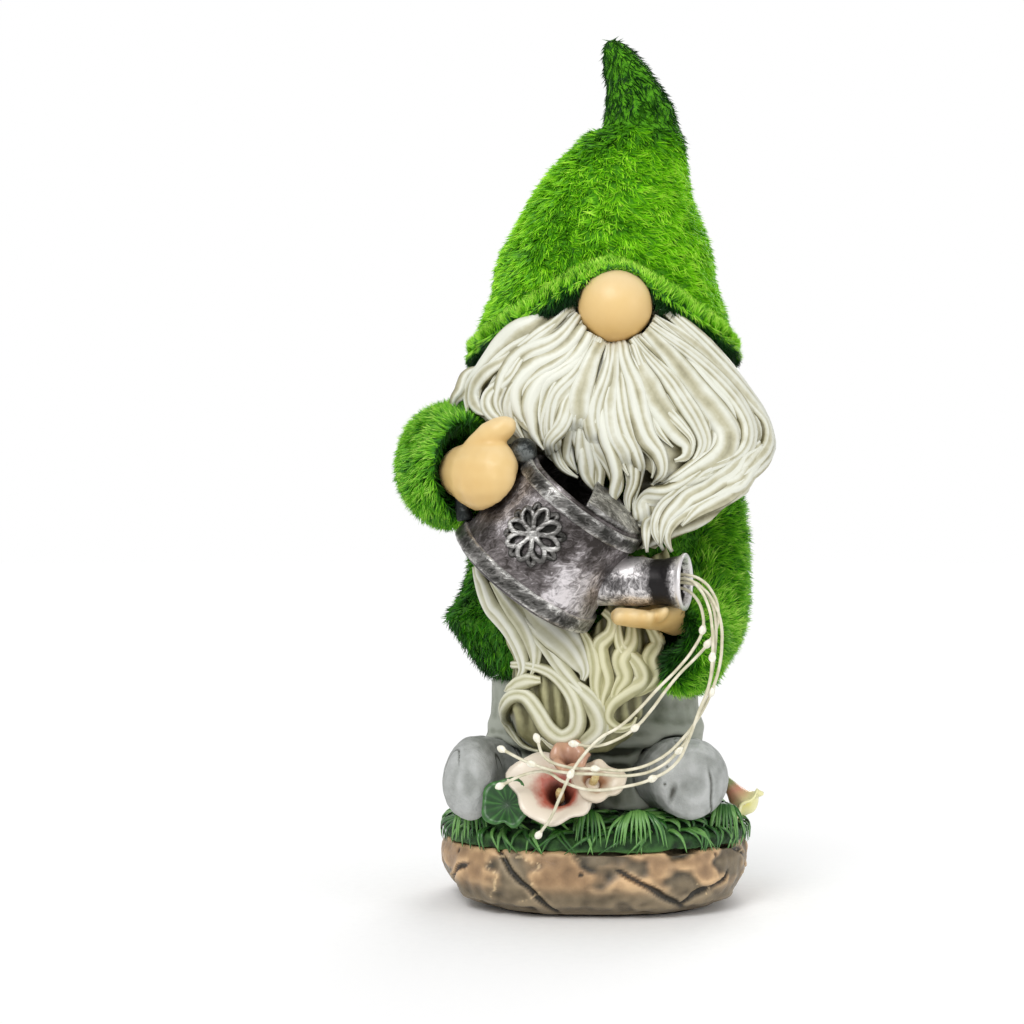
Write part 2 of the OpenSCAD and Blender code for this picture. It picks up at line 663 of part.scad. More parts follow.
module can_spout() color("dimgray") difference() {
    on_spout() rotate_extrude() polygon([[0, 0], [spout_d / 2, 0], [spout_d / 2, 12.5],
        [spout_d / 2 - 0.5, 17], [spout_d / 2 - 0.4, 22], [mouth_d / 2 - 0.4, spout_l - 1.2],
        [mouth_d / 2, spout_l - 0.6], [mouth_d / 2 - 0.2, spout_l], [0, spout_l]]);
    on_spout() translate([0, 0, -1]) cylinder(d = spout_bore_d, h = spout_l + 2);
    // Hole that the lead comes in by, at the back
    translate([5.2, -29.5, 99.3]) rotate([90, 0, 12]) cylinder(d = 2.6, h = 5.5);
}

// Eight petals round a small button, on the front of the drum
module can_rosette() color("silver") one_mesh() difference() {
    on_can() rotate([0, 0, -16]) translate([0, -can_r(rosette_z), rosette_z]) rotate([82.5, 0, 0]) {
        for (a = [0:45:315]) rotate([0, 0, a + 12]) translate([5, 0, -3.2]) intersection() {
            translate([0, 3.4, 0]) cylinder(r = 4.9, h = 5, $fn = 24);
            translate([0, -3.4, 0]) cylinder(r = 4.9, h = 5, $fn = 24);
        }
        translate([0, 0, -2]) cylinder(r = 2.6, h = 4.8, $fn = 20);
    }
    on_can() cylinder(r1 = can_d_floor / 2 + 0.05, r2 = can_d_rim / 2 + 0.05, h = can_h, $fn = 64);
}

// ---- Light strands ----

module strand_a() color("wheat") strand(strand_a_route, strand_d);
module strand_b() color("wheat") strand(strand_b_route, strand_d);
module strand_c() color("wheat") strand(strand_c_route, strand_d);
module strand_d_low() color("wheat") strand(strand_d_route, strand_d);
module strand_e() color("wheat") strand(strand_e_route, strand_d);

// Drops at the free ends and at two places along each strand
module lamp_drops() color("lightyellow")
    for (n = [0:len(strand_routes) - 1], i = concat(lamp_points[n], [len(strand_routes[n]) - 1]))
        translate(strand_routes[n][i]) sphere(d = lamp_d);

module light_lead() color("black") strand(lead_route, 1.8, 2);

// ---- Solar module ----

module solar_housing() color("black") on_module() difference() {
    block([module_w, module_h, module_t], [0, 0, -module_t]);
    block([panel_w + 0.4, panel_h + 0.4, panel_t + 1], [0, panel_y, -panel_t]);
    block([panel_w - 4, panel_h - 4, 4], [0, panel_y, -panel_t - 2]);
    block([module_w - 3.2, panel_h + 1.6, module_t - 3.6], [0, panel_y - 0.2, -module_t - 0.2]);
    block([bay_w, bay_h, module_t], [0, bay_y, -module_t + back_t - 0.2]);
    block([bay_w + 2 * door_gap + 1, bay_h + 2 * door_gap, skin_t + 1], [0, bay_y, -skin_t]);
    for (x = [-screw_x, screw_x]) {
        translate([x, screw_y, -skin_t]) cylinder(d = 6.8, h = skin_t + 1);
        translate([x, screw_y, -9]) cylinder(d = 2.2, h = 9);
    }
    block([14, 8.8, module_t - skin_t + 0.2], [0, button_y, -module_t - 0.2]);
    translate([0, button_y, -skin_t - 1]) cylinder(d = button_d + 0.6, h = skin_t + 2);
    block([module_w - 3.2, module_h - 3.2, back_t + 0.2], [0, 0, -module_t - 0.2]);
}

module housing_back() color("darkslategray") on_module() difference() {
    union() {
        block([module_w - 3.4, module_h - 3.4, back_t], [0, 0, -module_t]);
        for (x = [-13, 13], y = [panel_y - 8, panel_y + 8])
            translate([x, y, -module_t]) cylinder(d = 3.2, h = module_t - 8);
    }
    translate([0, 10, -module_t - 1]) cylinder(d = 2.4, h = back_t + 2);
}

module solar_panel() color("midnightblue") on_module()
    block([panel_w, panel_h, panel_t], [0, panel_y, -panel_t]);

module circuit_board() color("green") on_module() {
    block([34, 22, 1.6], [0, panel_y, -8]);
    block([6, 4, 1.4], [-8, panel_y + 4, -6.4]);
    block([4, 4, 1.2], [6, panel_y - 3, -6.4]);
}

module battery() color("seagreen") on_module() translate([cell_x, bay_y, -7.3]) rotate([0, 90, 0])
    rotate_extrude() polygon([[0, 0], [cell_d / 2 - 0.4, 0], [cell_d / 2, 0.4],
        [cell_d / 2, cell_l - 1.6], [cell_d / 2 - 0.5, cell_l - 1], [1.9, cell_l - 1],
        [1.9, cell_l], [0, cell_l]]);

// A plate at each end of the cell, and the coil spring on the plate at its flat end
module battery_contacts() color("silver") on_module() {
    for (side = [-1, 1])
        block([contact_t, 9, 9], [side * (bay_w / 2 - 0.1 - contact_t / 2), bay_y, -11.8]);
    wire = 0.22;
    turns = 2.5;
    from = -bay_w / 2 + 0.1 + contact_t + wire * 0.8;
    travel = cell_x - wire - from;
    coil = [for (i = [0:20]) let (a = 360 * turns * i / 20)
        [from + travel * i / 20, bay_y + 3 * cos(a), -7.3 + 3 * sin(a), wire, wire]];
    ring_solid([for (i = [0:20]) path_ring(coil, i, 6, [1, 0, 0])]);
}

module battery_door() color("black") on_module() difference() {
    union() {
        block([bay_w + 1, bay_h, skin_t], [0, bay_y, -skin_t]);
        for (x = [-screw_x, screw_x]) translate([x, screw_y, -skin_t]) cylinder(d = 6.2, h = skin_t);
    }
    for (x = [-screw_x, screw_x]) translate([x, screw_y, -skin_t - 1]) cylinder(d = 2, h = skin_t + 2);
    for (y = [-1.5, 0, 1.5]) block([8, 0.7, 1], [0, bay_y + y, -0.4]);
}

module door_screws() color("lightgray") on_module()
    for (x = [-screw_x, screw_x]) translate([x, screw_y, 0]) difference() {
        union() {
            cylinder(d = 3.8, h = 1.2);
            translate([0, 0, -7.5]) cylinder(d = 1.8, h = 7.5);
        }
        for (turn = [0, 90]) rotate([0, 0, turn]) block([2.2, 0.5, 1], [0, 0, 0.5]);
    }

module power_switch() color("dimgray") on_module() difference() {
    block([12, 7, 5.4], [0, button_y, -module_t + back_t]);
    translate([0, button_y, -12]) cylinder(d = 3.6, h = 5);
}

module switch_button() color("red") on_module() translate([0, button_y, 0]) rotate_extrude()
    polygon([[0, -9.4], [1.5, -9.4], [1.5, -3.2], [3.8, -3.2], [3.8, -2.1], [button_d / 2, -2.1],
        [button_d / 2, 0.9], [button_d / 2 - 0.3, 1.2], [0, 1.2]]);

rock_base();
base_pad();
pour_plug();
grass_mound();
grass_tufts();
round_leaf();
lily_large();
lily_large_spadix();
lily_small();
lily_small_spadix();
lily_bud();
side_lily();
side_lily_spadix();
boot_right();
boot_left();
trouser_right();
trouser_left();
coat();
sleeve_right();
sleeve_left();
hand_right();
hand_left();
head();
nose();
hat_crown();
hat_brim();
beard_upper();
beard_lower();
beard_lock();
can_drum();
can_band_rim();
can_band_floor();
can_cover();
can_handle();
can_spout();
can_rosette();
strand_a();
strand_b();
strand_c();
strand_d_low();
strand_e();
lamp_drops();
light_lead();
solar_housing();
housing_back();
solar_panel();
circuit_board();
battery();
battery_contacts();
battery_door();
door_screws();
power_switch();
switch_button();
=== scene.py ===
"""Garden gnome that pours strands of light from a watering can: the looks round its CAD model.

Shapes are worked out in millimetres and turned into metres when a piece is made. The gnome faces -Y,
and "right" and "left" are its own hands, so its right hand is at -X.
"""
import itertools
import math

import bpy
import numpy as np
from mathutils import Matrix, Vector
from mathutils.bvhtree import BVHTree


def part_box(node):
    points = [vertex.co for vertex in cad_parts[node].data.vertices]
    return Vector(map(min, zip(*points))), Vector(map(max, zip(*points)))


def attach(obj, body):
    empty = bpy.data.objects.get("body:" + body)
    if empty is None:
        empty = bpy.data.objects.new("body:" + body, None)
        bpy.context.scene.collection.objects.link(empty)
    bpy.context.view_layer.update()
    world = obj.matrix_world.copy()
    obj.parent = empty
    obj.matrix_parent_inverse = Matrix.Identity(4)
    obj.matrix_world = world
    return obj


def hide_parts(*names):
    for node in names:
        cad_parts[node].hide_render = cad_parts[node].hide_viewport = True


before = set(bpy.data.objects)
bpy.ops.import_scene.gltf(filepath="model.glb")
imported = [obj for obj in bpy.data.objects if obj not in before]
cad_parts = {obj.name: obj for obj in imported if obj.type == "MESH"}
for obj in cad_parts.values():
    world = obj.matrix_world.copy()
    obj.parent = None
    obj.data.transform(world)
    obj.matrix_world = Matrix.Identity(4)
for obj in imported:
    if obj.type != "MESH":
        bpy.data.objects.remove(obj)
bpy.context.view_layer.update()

MM = 0.001
FIGURE = "figure"
DOWN = np.array([0.0, 0.0, -1.0])
UP = np.array([0.0, 0.0, 1.0])
FORWARD = np.array([0.0, -1.0, 0.0])


# ---- Numbers along curves and over surfaces ----

def smooth(keys, steps):
    """Catmull-Rom curve through the keys, with a number of steps between two of them."""
    keys = np.array(keys, float)
    ends = np.vstack([keys[0], keys, keys[-1]])
    rows = []
    for i in range(len(keys) - 1):
        a, b, c, d = ends[i:i + 4]
        for t in np.arange(steps) / steps:
            rows.append(0.5 * (2 * b + (c - a) * t + (2 * a - 5 * b + 4 * c - d) * t * t
                               + (3 * b - a - 3 * c + d) * t ** 3))
    return np.array(rows + [keys[-1]])


def unit(v):
    """Each row of v, or v itself, at length 1."""
    v = np.asarray(v, float)
    return v / np.maximum(np.linalg.norm(v, axis=-1, keepdims=True), 1e-9)


def hashed(cells, seed):
    """A repeatable number from 0 to 1 for each whole-number cell."""
    mixed = cells[..., 0] * 374761393 + cells[..., 1] * 668265263 + cells[..., 2] * 2147483647
    mixed = (mixed + seed * 1274126177) & 0xFFFFFFFF
    mixed = ((mixed ^ (mixed >> 13)) * 1274126177) & 0xFFFFFFFF
    return ((mixed ^ (mixed >> 16)) & 0xFFFF) / 65535.0


def lumps(points, size, seed=0):
    """Smooth noise from -1 to 1 at each point, with lumps of about that size."""
    scaled = np.asarray(points) / size
    cells = np.floor(scaled).astype(np.int64)
    t = scaled - cells
    t = t * t * (3 - 2 * t)
    total = np.zeros(len(scaled))
    for corner in itertools.product((0, 1), repeat=3):
        share = np.prod(np.where(corner, t, 1 - t), axis=1)
        total += share * hashed(cells + np.array(corner), seed)
    return total * 2 - 1


def rough(points, size, octaves=3, seed=0):
    """Several sizes of lumps added, each half as large and half as high as the last."""
    return sum(lumps(points, size / 2 ** i, seed + i) / 2 ** i for i in range(octaves))


def spots(points, size, seed=0):
    """Distance from each point to the nearest of the scattered dots, one in each cell of that size."""
    scaled = np.asarray(points) / size
    cells = np.floor(scaled).astype(np.int64)
    nearest = np.full(len(scaled), 9.0)
    for offset in itertools.product((-1, 0, 1), repeat=3):
        cell = cells + np.array(offset)
        dots = cell + np.stack([hashed(cell, seed + i) for i in range(3)], axis=1)
        nearest = np.minimum(nearest, np.linalg.norm(scaled - dots, axis=1))
    return nearest * size


def turns(count):
    """Angles spaced evenly round a circle."""
    return np.arange(count) * 2 * math.pi / count


def polar(radius, angle, height):
    """Points at a radius, an angle and a height round Z."""
    return np.stack(np.broadcast_arrays(radius * np.cos(angle), radius * np.sin(angle), height), axis=-1)


def evenly(keys, count):
    """Points spaced evenly along the smooth curve through the keys."""
    line = smooth(keys, 8)
    length = np.concatenate([[0], np.cumsum(np.linalg.norm(np.diff(line, axis=0), axis=1))])
    places = np.linspace(0, length[-1], count)
    return np.stack([np.interp(places, length, line[:, i]) for i in range(line.shape[1])], axis=1)


def facing(along):
    """Axes, as columns, of which the third points along and the first lies level."""
    side = unit(np.cross(UP, along))
    return np.stack([side, np.cross(along, side), along], axis=1)


def ease(v, low, high):
    """0 below low, 1 above high and a smooth step between them."""
    t = np.clip((np.asarray(v, float) - low) / (high - low), 0, 1)
    return t * t * (3 - 2 * t)


# ---- Shapes ----

class Shape:
    """Points in millimetres, faces as corner numbers, and one value per point for each tone."""

    def __init__(self, points, faces, **tones):
        self.points = np.array(points, float)
        self.faces = faces
        self.tones = {name: np.array(values, float) for name, values in tones.items()}

    def moved(self, matrix, shift):
        """The shape turned by a matrix whose columns are its new axes, then shifted."""
        self.points = self.points @ np.array(matrix, float).T + np.array(shift, float)
        return self


def joined(shapes):
    """One shape that holds several."""
    starts = np.cumsum([0] + [len(s.points) for s in shapes])
    faces = [tuple(int(c) + int(start) for c in face)
             for s, start in zip(shapes, starts) for face in s.faces]
    tones = {name: np.concatenate([s.tones[name] for s in shapes]) for name in shapes[0].tones}
    return Shape(np.vstack([s.points for s in shapes]), faces, **tones)


def ring_faces(count, around, closed_loop=False):
    """Four-cornered faces between rings of points, and a face over each end of an open stack."""
    ring = np.arange(around)
    after = (ring + 1) % around
    faces = []
    for k in range(count if closed_loop else count - 1):
        low, high = k * around, (k + 1) % count * around
        faces += list(zip((low + ring).tolist(), (low + after).tolist(),
                          (high + after).tolist(), (high + ring).tolist()))
    if not closed_loop:
        faces.append(tuple(reversed(ring.tolist())))
        faces.append(tuple(((count - 1) * around + ring).tolist()))
    return faces


def stacked(rings, closed_loop=False, **tones):
    """Solid through rings of points that all have the same number of points."""
    rings = np.array(rings, float)
    faces = ring_faces(len(rings), rings.shape[1], closed_loop)
    return Shape(rings.reshape(-1, 3), faces, **{n: np.array(v).reshape(-1) for n, v in tones.items()})


def path_frames(path, over):
    """Along, side and over directions at each point of a path; over is the direction to keep to."""
    along = unit(np.gradient(path, axis=0))
    side = unit(np.cross(along, np.broadcast_to(over, path.shape)))
    return along, side, np.cross(side, along)


def swept(path, side, top, across, rise):
    """Rings round a path from how far each of their points lies to the side and to the top."""
    return path[:, None] + across[:, :, None] * side[:, None] + rise[:, :, None] * top[:, None]


def tube(path, width, height, around, over):
    """Solid with an oval section along a path. width and height are half sizes, one or per point."""
    angle = turns(around)
    _, side, top = path_frames(path, over)
    width = np.broadcast_to(width, len(path))[:, None]
    height = np.broadcast_to(height, len(path))[:, None]
    return stacked(swept(path, side, top, width * np.cos(angle), height * np.sin(angle)))


def mesh_of(name, shape):
    """Blender mesh in metres of a shape, with its tones as attributes."""
    mesh = bpy.data.meshes.new(name)
    faces = shape.faces.tolist() if isinstance(shape.faces, np.ndarray) else shape.faces
    mesh.from_pydata((shape.points * MM).tolist(), [], faces)
    for tone, values in shape.tones.items():
        mesh.attributes.new(tone, "FLOAT", "POINT").data.foreach_set("value", values.astype(np.float32))
    mesh.update()
    return mesh


def polygons(mesh):
    """The faces of a Blender mesh as corner numbers."""
    return [tuple(face.vertices) for face in mesh.polygons]


def in_scene(name, data):
    """A new object in the scene."""
    made = bpy.data.objects.new(name, data)
    bpy.context.scene.collection.objects.link(made)
    return made


def read_mesh(mesh):
    """Points in millimetres, unit normals and edges of a Blender mesh."""
    points = np.zeros(len(mesh.vertices) * 3)
    mesh.vertices.foreach_get("co", points)
    normals = np.zeros(len(mesh.vertices) * 3)
    mesh.vertices.foreach_get("normal", normals)
    edges = np.zeros(len(mesh.edges) * 2, np.int32)
    mesh.edges.foreach_get("vertices", edges)
    return points.reshape(-1, 3) / MM, normals.reshape(-1, 3), edges.reshape(-1, 2)


def relaxed(points, edges, rounds):
    """Points moved towards the middle of their neighbours, so many times."""
    count = np.bincount(edges.ravel(), minlength=len(points))
    for _ in range(rounds):
        around = np.stack([
            (np.bincount(edges[:, 0], points[edges[:, 1], axis], len(points))
             + np.bincount(edges[:, 1], points[edges[:, 0], axis], len(points))) / np.maximum(count, 1)
            for axis in range(points.shape[1])], axis=1)
        points = (points + around) / 2
    return points


class Skin:
    """An even fine mesh over shapes or CAD nodes, which can be carved and measured."""

    def __init__(self, shape, voxel, rounds=0):
        holder = in_scene("holder", mesh_of("holder", shape))
        modifier = holder.modifiers.new("Remesh", "REMESH")
        modifier.mode = "VOXEL"
        modifier.voxel_size = voxel * MM
        view = bpy.context.evaluated_depsgraph_get()
        self.mesh = bpy.data.meshes.new_from_object(holder.evaluated_get(view))
        bpy.data.objects.remove(holder)
        self.points, self.normals, self.edges = read_mesh(self.mesh)
        if rounds:
            self.set_points(relaxed(self.points, self.edges, rounds))

    def set_points(self, points):
        """Moves the mesh's points and works its normals out again."""
        self.mesh.vertices.foreach_set("co", (points * MM).ravel())
        self.mesh.update()
        self.points, self.normals, self.edges = read_mesh(self.mesh)

    def push(self, heights):
        """Moves each point along its normal."""
        self.set_points(self.points + self.normals * np.asarray(heights)[:, None])

    def cavity(self, rounds, depth):
        """0 in hollows, 0.5 where it is flat and 1 on ridges that stand out by depth."""
        smoothed = relaxed(self.points, self.edges, rounds)
        out = np.sum((self.points - smoothed) * self.normals, axis=1)
        return np.clip(0.5 + 0.5 * out / depth, 0, 1)

    def tone(self, name, values):
        """Gives each point a value that the material reads."""
        data = self.mesh.attributes.get(name) or self.mesh.attributes.new(name, "FLOAT", "POINT")
        data.data.foreach_set("value", np.asarray(values, np.float32))

    def tree(self):
        """Search tree over the mesh, in metres."""
        return BVHTree.FromPolygons([v.co for v in self.mesh.vertices], polygons(self.mesh))

    def shape(self, **tones):
        """The mesh as a shape that can be joined to others."""
        return Shape(self.points, polygons(self.mesh), **tones)


def cad_shape(*nodes):
    """The CAD nodes' own meshes as one shape."""
    shapes = []
    for name in nodes:
        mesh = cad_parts[name].data
        shapes.append(Shape(read_mesh(mesh)[0], polygons(mesh)))
    return joined(shapes)


def cad_tree(*nodes):
    """Search tree over CAD nodes, in metres."""
    shape = cad_shape(*nodes)
    return BVHTree.FromPolygons((shape.points * MM).tolist(), shape.faces)


def corners(node):
    """Lowest and highest corner of a CAD node's box in millimetres."""
    return [np.array(corner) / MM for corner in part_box(node)]


def middle(node):
    """Middle of a CAD node's box in millimetres."""
    low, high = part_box(node)
    return np.array((low + high) / 2) / MM


def give_finish(mesh, finish):
    """Gives a mesh one material."""
    mesh.materials.clear()
    mesh.materials.append(finish)


def piece_of(name, form, finish, nodes=(), flat=False):
    """Makes a shape or a skin a piece of the object that stands for some CAD nodes."""
    mesh = form.mesh if isinstance(form, Skin) else mesh_of(name, form)
    made = in_scene(name, mesh)
    give_finish(mesh, finish)
    mesh.polygons.foreach_set("use_smooth", np.full(len(mesh.polygons), not flat))
    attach(made, FIGURE)
    if nodes:
        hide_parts(*nodes)
    return made


def cast(node, form, finish):
    """The piece that stands for one CAD node."""
    piece_of(node + "_cast", form, finish, [node])


# ---- Material building blocks ----

def colour(red, green, blue):
    """Linear colour from 0-255 screen values."""
    screen = np.array([red, green, blue]) / 255
    linear = np.where(screen <= 0.04045, screen / 12.92, ((screen + 0.055) / 1.055) ** 2.4)
    return (*linear.tolist(), 1.0)


class Finish:
    """A node material under construction."""

    def __init__(self, name, roughness=0.6, metallic=0.0, specular=0.5, coat=0.0):
        self.material = bpy.data.materials.new(name)
        self.material.use_nodes = True
        self.nodes = self.material.node_tree.nodes
        self.links = self.material.node_tree.links
        self.shader = self.nodes["Principled BSDF"]
        self.shader.inputs["Roughness"].default_value = roughness
        self.shader.inputs["Metallic"].default_value = metallic
        self.shader.inputs["Specular IOR Level"].default_value = specular
        self.shader.inputs["Coat Weight"].default_value = coat
        self.shader.inputs["Coat Roughness"].default_value = 0.15
        self.place = self.nodes.new("ShaderNodeTexCoord").outputs["Object"]

    def add(self, kind, inputs, **settings):
        """A node with its settings made and its inputs linked or set."""
        made = self.nodes.new("ShaderNode" + kind)
        for name, value in settings.items():
            setattr(made, name, value)
        for name, value in inputs.items():
            if isinstance(value, bpy.types.NodeSocket):
                self.links.new(value, made.inputs[name])
            else:
                made.inputs[name].default_value = value
        return made

    def noise(self, size, detail=3.0, roughness=0.6, stretch=(1, 1, 1), distortion=0.0):
        """Noise with lumps of about that many millimetres, longer where stretch is above 1."""
        scaled = self.add("Mapping", {"Vector": self.place, "Scale": [1 / s for s in stretch]})
        return self.add("TexNoise", {"Vector": scaled.outputs[0], "Scale": 1 / (size * MM),
                                     "Detail": detail, "Roughness": roughness,
                                     "Distortion": distortion}).outputs["Fac"]

    def cells(self, size, feature="F1"):
        """Distance pattern of scattered dots."""
        return self.add("TexVoronoi", {"Vector": self.place, "Scale": 1 / (size * MM)},
                        feature=feature).outputs["Distance"]

    def tone(self, name):
        """A value that the mesh holds at each point."""
        return self.add("Attribute", {}, attribute_name=name).outputs["Fac"]

    def ramp(self, factor, *stops):
        """Colours at places from 0 to 1 along the factor."""
        node = self.add("ValToRGB", {"Fac": factor})
        points = node.color_ramp.elements
        while len(points) < len(stops):
            points.new(0.5)
        for point, (place, shade) in zip(points, stops):
            point.position = place
            point.color = colour(*shade) if isinstance(shade, tuple) else (shade, shade, shade, 1)
        return node.outputs["Color"]

    def mix(self, factor, first, second):
        """Second colour over the first by a factor. The node takes its colours at inputs 6 and 7."""
        return self.add("Mix", {0: factor, 6: first, 7: second}, data_type="RGBA").outputs[2]

    def math(self, operation, first, second):
        """Arithmetic on two values."""
        return self.add("Math", {0: first, 1: second}, operation=operation).outputs[0]

    def mottled(self, name, size, detail, strength):
        """A tone with noise of a strength added."""
        clouds = self.math("MULTIPLY", self.math("SUBTRACT", self.noise(size, detail), 0.5), strength)
        return self.math("ADD", self.tone(name), clouds)

    def done(self, base, height=None, depth=0.3, dullness=None):
        """Links the base colour, a bump whose height spans depth millimetres, and the roughness."""
        self.links.new(base, self.shader.inputs["Base Color"])
        if height is not None:
            bump = self.add("Bump", {"Height": height, "Strength": 1.0, "Distance": depth * MM})
            self.links.new(bump.outputs[0], self.shader.inputs["Normal"])
        if dullness is not None:
            self.links.new(dullness, self.shader.inputs["Roughness"])
        return self.material


def flock_finish(name, *stops):
    """Short nylon fibres: dark at the root, which is painted shade deep in the flock, and bright at the
    tip, as the tone says.
    """
    look = Finish(name, roughness=0.5, specular=0.2)
    return look.done(look.ramp(look.mottled("shade", 8, 2, 0.3), *stops))


def painted(name, dark, halfway, light, roughness, grain=0.6, depth=0.12):
    """Paint over cast resin, with painted shade in the hollows that the cavity tone marks."""
    look = Finish(name, roughness=roughness)
    base = look.ramp(look.mottled("cavity", 6, 4, 0.5), (0.22, dark), (0.48, halfway), (0.72, light))
    return look.done(base, look.noise(grain, 3), depth)


def two_tone(name, dark, light, clouds, grain, depth, places=(0.3, 0.7), **surface):
    """Two shades in clouds under a fine grain. clouds and grain hold what noise takes."""
    look = Finish(name, **surface)
    base = look.ramp(look.noise(*clouds), (places[0], dark), (places[1], light))
    return look.done(base, look.noise(*grain), depth)


# ---- Camera, light and floor ----

# The eye stands level with the middle of the figure, a little to the side of its right hand
EYE = (-0.0256, -0.600, 0.119)
SENSOR = 36.0
FOCAL_SHARE = 1.8896   # focal length over sensor width
AMBIENT = 0.62
CHEST = (0, 0, 0.14)
FLOOR_R = 4000   # millimetres, far beyond what the eye sees
FADE_START, FADE_END = 0.05, 0.18   # metres from the figure between which the floor turns white


def make_camera():
    data = bpy.data.cameras.new("camera")
    data.sensor_width = SENSOR
    data.lens = SENSOR * FOCAL_SHARE
    data.clip_start = 0.01
    camera = in_scene("camera", data)
    camera.location = EYE
    camera.rotation_euler = (math.pi / 2, 0, 0)
    bpy.context.scene.camera = camera


def make_lamp(name, place, size, watts):
    """Round lamp that shines on the figure's chest."""
    data = bpy.data.lights.new(name, "AREA")
    data.shape = "DISK"
    data.size = size
    data.energy = watts
    lamp = in_scene(name, data)
    lamp.location = place
    lamp.rotation_euler = (Vector(CHEST) - Vector(place)).to_track_quat("-Z", "Y").to_euler()


def make_studio():
    """Soft light from all sides, and a backdrop that the eye sees as plain white."""
    make_lamp("key", (-0.35, -0.8, 0.75), 0.5, 5.6)
    make_lamp("fill", (0.75, -0.6, 0.3), 0.6, 1.7)
    make_lamp("back", (0.3, 0.8, 0.6), 0.6, 4)
    world = bpy.data.worlds.new("studio")
    world.use_nodes = True
    tree = world.node_tree
    path = tree.nodes.new("ShaderNodeLightPath")
    strength = tree.nodes.new("ShaderNodeMapRange")
    strength.inputs["To Min"].default_value = AMBIENT
    strength.inputs["To Max"].default_value = 1.0
    tree.links.new(path.outputs["Is Camera Ray"], strength.inputs["Value"])
    tree.links.new(strength.outputs["Result"], tree.nodes["Background"].inputs["Strength"])
    tree.nodes["Background"].inputs["Color"].default_value = (1, 1, 1, 1)
    bpy.context.scene.world = world
    bpy.context.scene.view_settings.view_transform = "Standard"
    bpy.context.scene.view_settings.look = "None"


def make_floor():
    """Round pale floor that fades into the white of the studio."""
    corner_count = 96
    floor = Shape(polar(FLOOR_R, turns(corner_count), 0), [tuple(range(corner_count))])
    look = Finish("floor_paper", roughness=0.9, specular=0.1)
    distance = look.add("VectorMath", {"Vector": look.place}, operation="LENGTH").outputs["Value"]
    fade = {"Value": distance, "From Min": FADE_START, "From Max": FADE_END}
    far = look.add("MapRange", fade).outputs["Result"]
    speckle = look.ramp(look.noise(3, 2), (0.3, (252, 252, 252)), (0.7, (255, 255, 255)))
    black, white = colour(0, 0, 0), colour(255, 255, 255)
    look.links.new(look.mix(far, black, white), look.shader.inputs["Emission Color"])
    look.shader.inputs["Emission Strength"].default_value = 1.0
    stage = in_scene("floor", mesh_of("floor", floor))
    give_finish(stage.data, look.done(look.mix(far, speckle, black)))


make_camera()
make_studio()
make_floor()


# ---- Strands of lights ----

STRAND_D = 0.9
# Routes in millimetres, from inside the spout to the free end, and the points that carry a lamp
STRANDS = {
    "strand_a": ([[13, -42.6, 100.5], [19, -44.7, 100.9], [24.5, -46.8, 101], [28.5, -48.3, 99.5],
                  [31.5, -49.3, 96], [33, -50, 91], [32.5, -50, 86], [30, -50, 81.5],
                  [26.5, -50, 77.5], [22, -50, 73], [18, -49.5, 68], [14, -49, 62.5],
                  [9.5, -48.5, 57.5], [4, -48.5, 54], [-2, -48.8, 52.3], [-8, -49, 53]], (7, 12)),
    "strand_b": ([[13, -43.6, 98.5], [19, -45.9, 98.7], [24.5, -48, 98.7], [28.5, -50, 97.3],
                  [31.5, -51.5, 93.5], [33.5, -52, 88], [33.8, -52.2, 81.5], [33, -52.6, 75],
                  [30.8, -52.3, 68], [27.5, -51, 61], [23, -49.3, 54.5], [16.5, -47.5, 48.5],
                  [8, -48, 45.5], [-2, -50, 46], [-11, -50.5, 46.8], [-16.5, -50, 49.5],
                  [-18.5, -49, 54.5]], (8, 13)),
    "strand_c": ([[13, -42, 99.5], [19, -43.9, 99.8], [25, -46, 99.5], [28.5, -48.5, 97.5],
                  [31, -50.2, 93.5], [32.2, -51, 87.5], [32, -51.2, 80.5], [31, -51, 73],
                  [29, -50.3, 65.5], [26, -49, 58], [22, -47.8, 51], [16, -47.2, 45.8],
                  [8, -48, 43.8], [-1, -50.8, 44.6], [-11, -51.6, 45.2], [-20, -50, 47.4],
                  [-28.5, -45.5, 51]], (10, 15)),
    "strand_d_low": ([[13, -44.2, 99.5], [19, -46.4, 99.9], [24.5, -48.5, 99.8],
                      [27.3, -50.8, 97.6], [29.8, -51.8, 93], [31, -53, 86], [31, -53.3, 78],
                      [30, -53.4, 70], [27, -53, 62], [24.5, -51.3, 54.5], [21, -49.8, 47.5],
                      [14.5, -48.4, 43], [6, -49.6, 40.8], [-4, -51.4, 40.3], [-11, -51.6, 42.5],
                      [-16, -48.8, 45], [-22, -47.2, 44], [-29, -45.5, 40.5]], (6, 11)),
    "strand_e": ([[13, -42.8, 97.8], [18.5, -44.8, 97.5], [23.8, -47, 96.9], [26.8, -48.3, 94.5],
                  [28.6, -48.9, 90.5], [28.7, -49, 85.5], [26, -49.4, 80], [21.5, -50.2, 74.5],
                  [16, -50.4, 69], [10.5, -50.2, 63], [5, -49.8, 58], [-0.5, -50.2, 54.8],
                  [-5, -51.6, 50.5], [-9, -53.2, 45], [-12, -53.2, 38.5], [-14.5, -51.5, 32.5],
                  [-18, -48.5, 27]], (5, 13)),
}


def lamp_drop(at, along):
    """Resin drop round a lamp: a fat paddle on the strand."""
    reach = np.array([-1.6, -1.3, -0.9, -0.3, 0.4, 1.0, 1.4, 1.6])
    width = np.array([0.35, 0.55, 0.75, 1.05, 1.1, 0.85, 0.5, 0.2])
    return tube(np.array(at) + np.outer(reach, unit(along)), width, width * 0.75, 12, FORWARD)


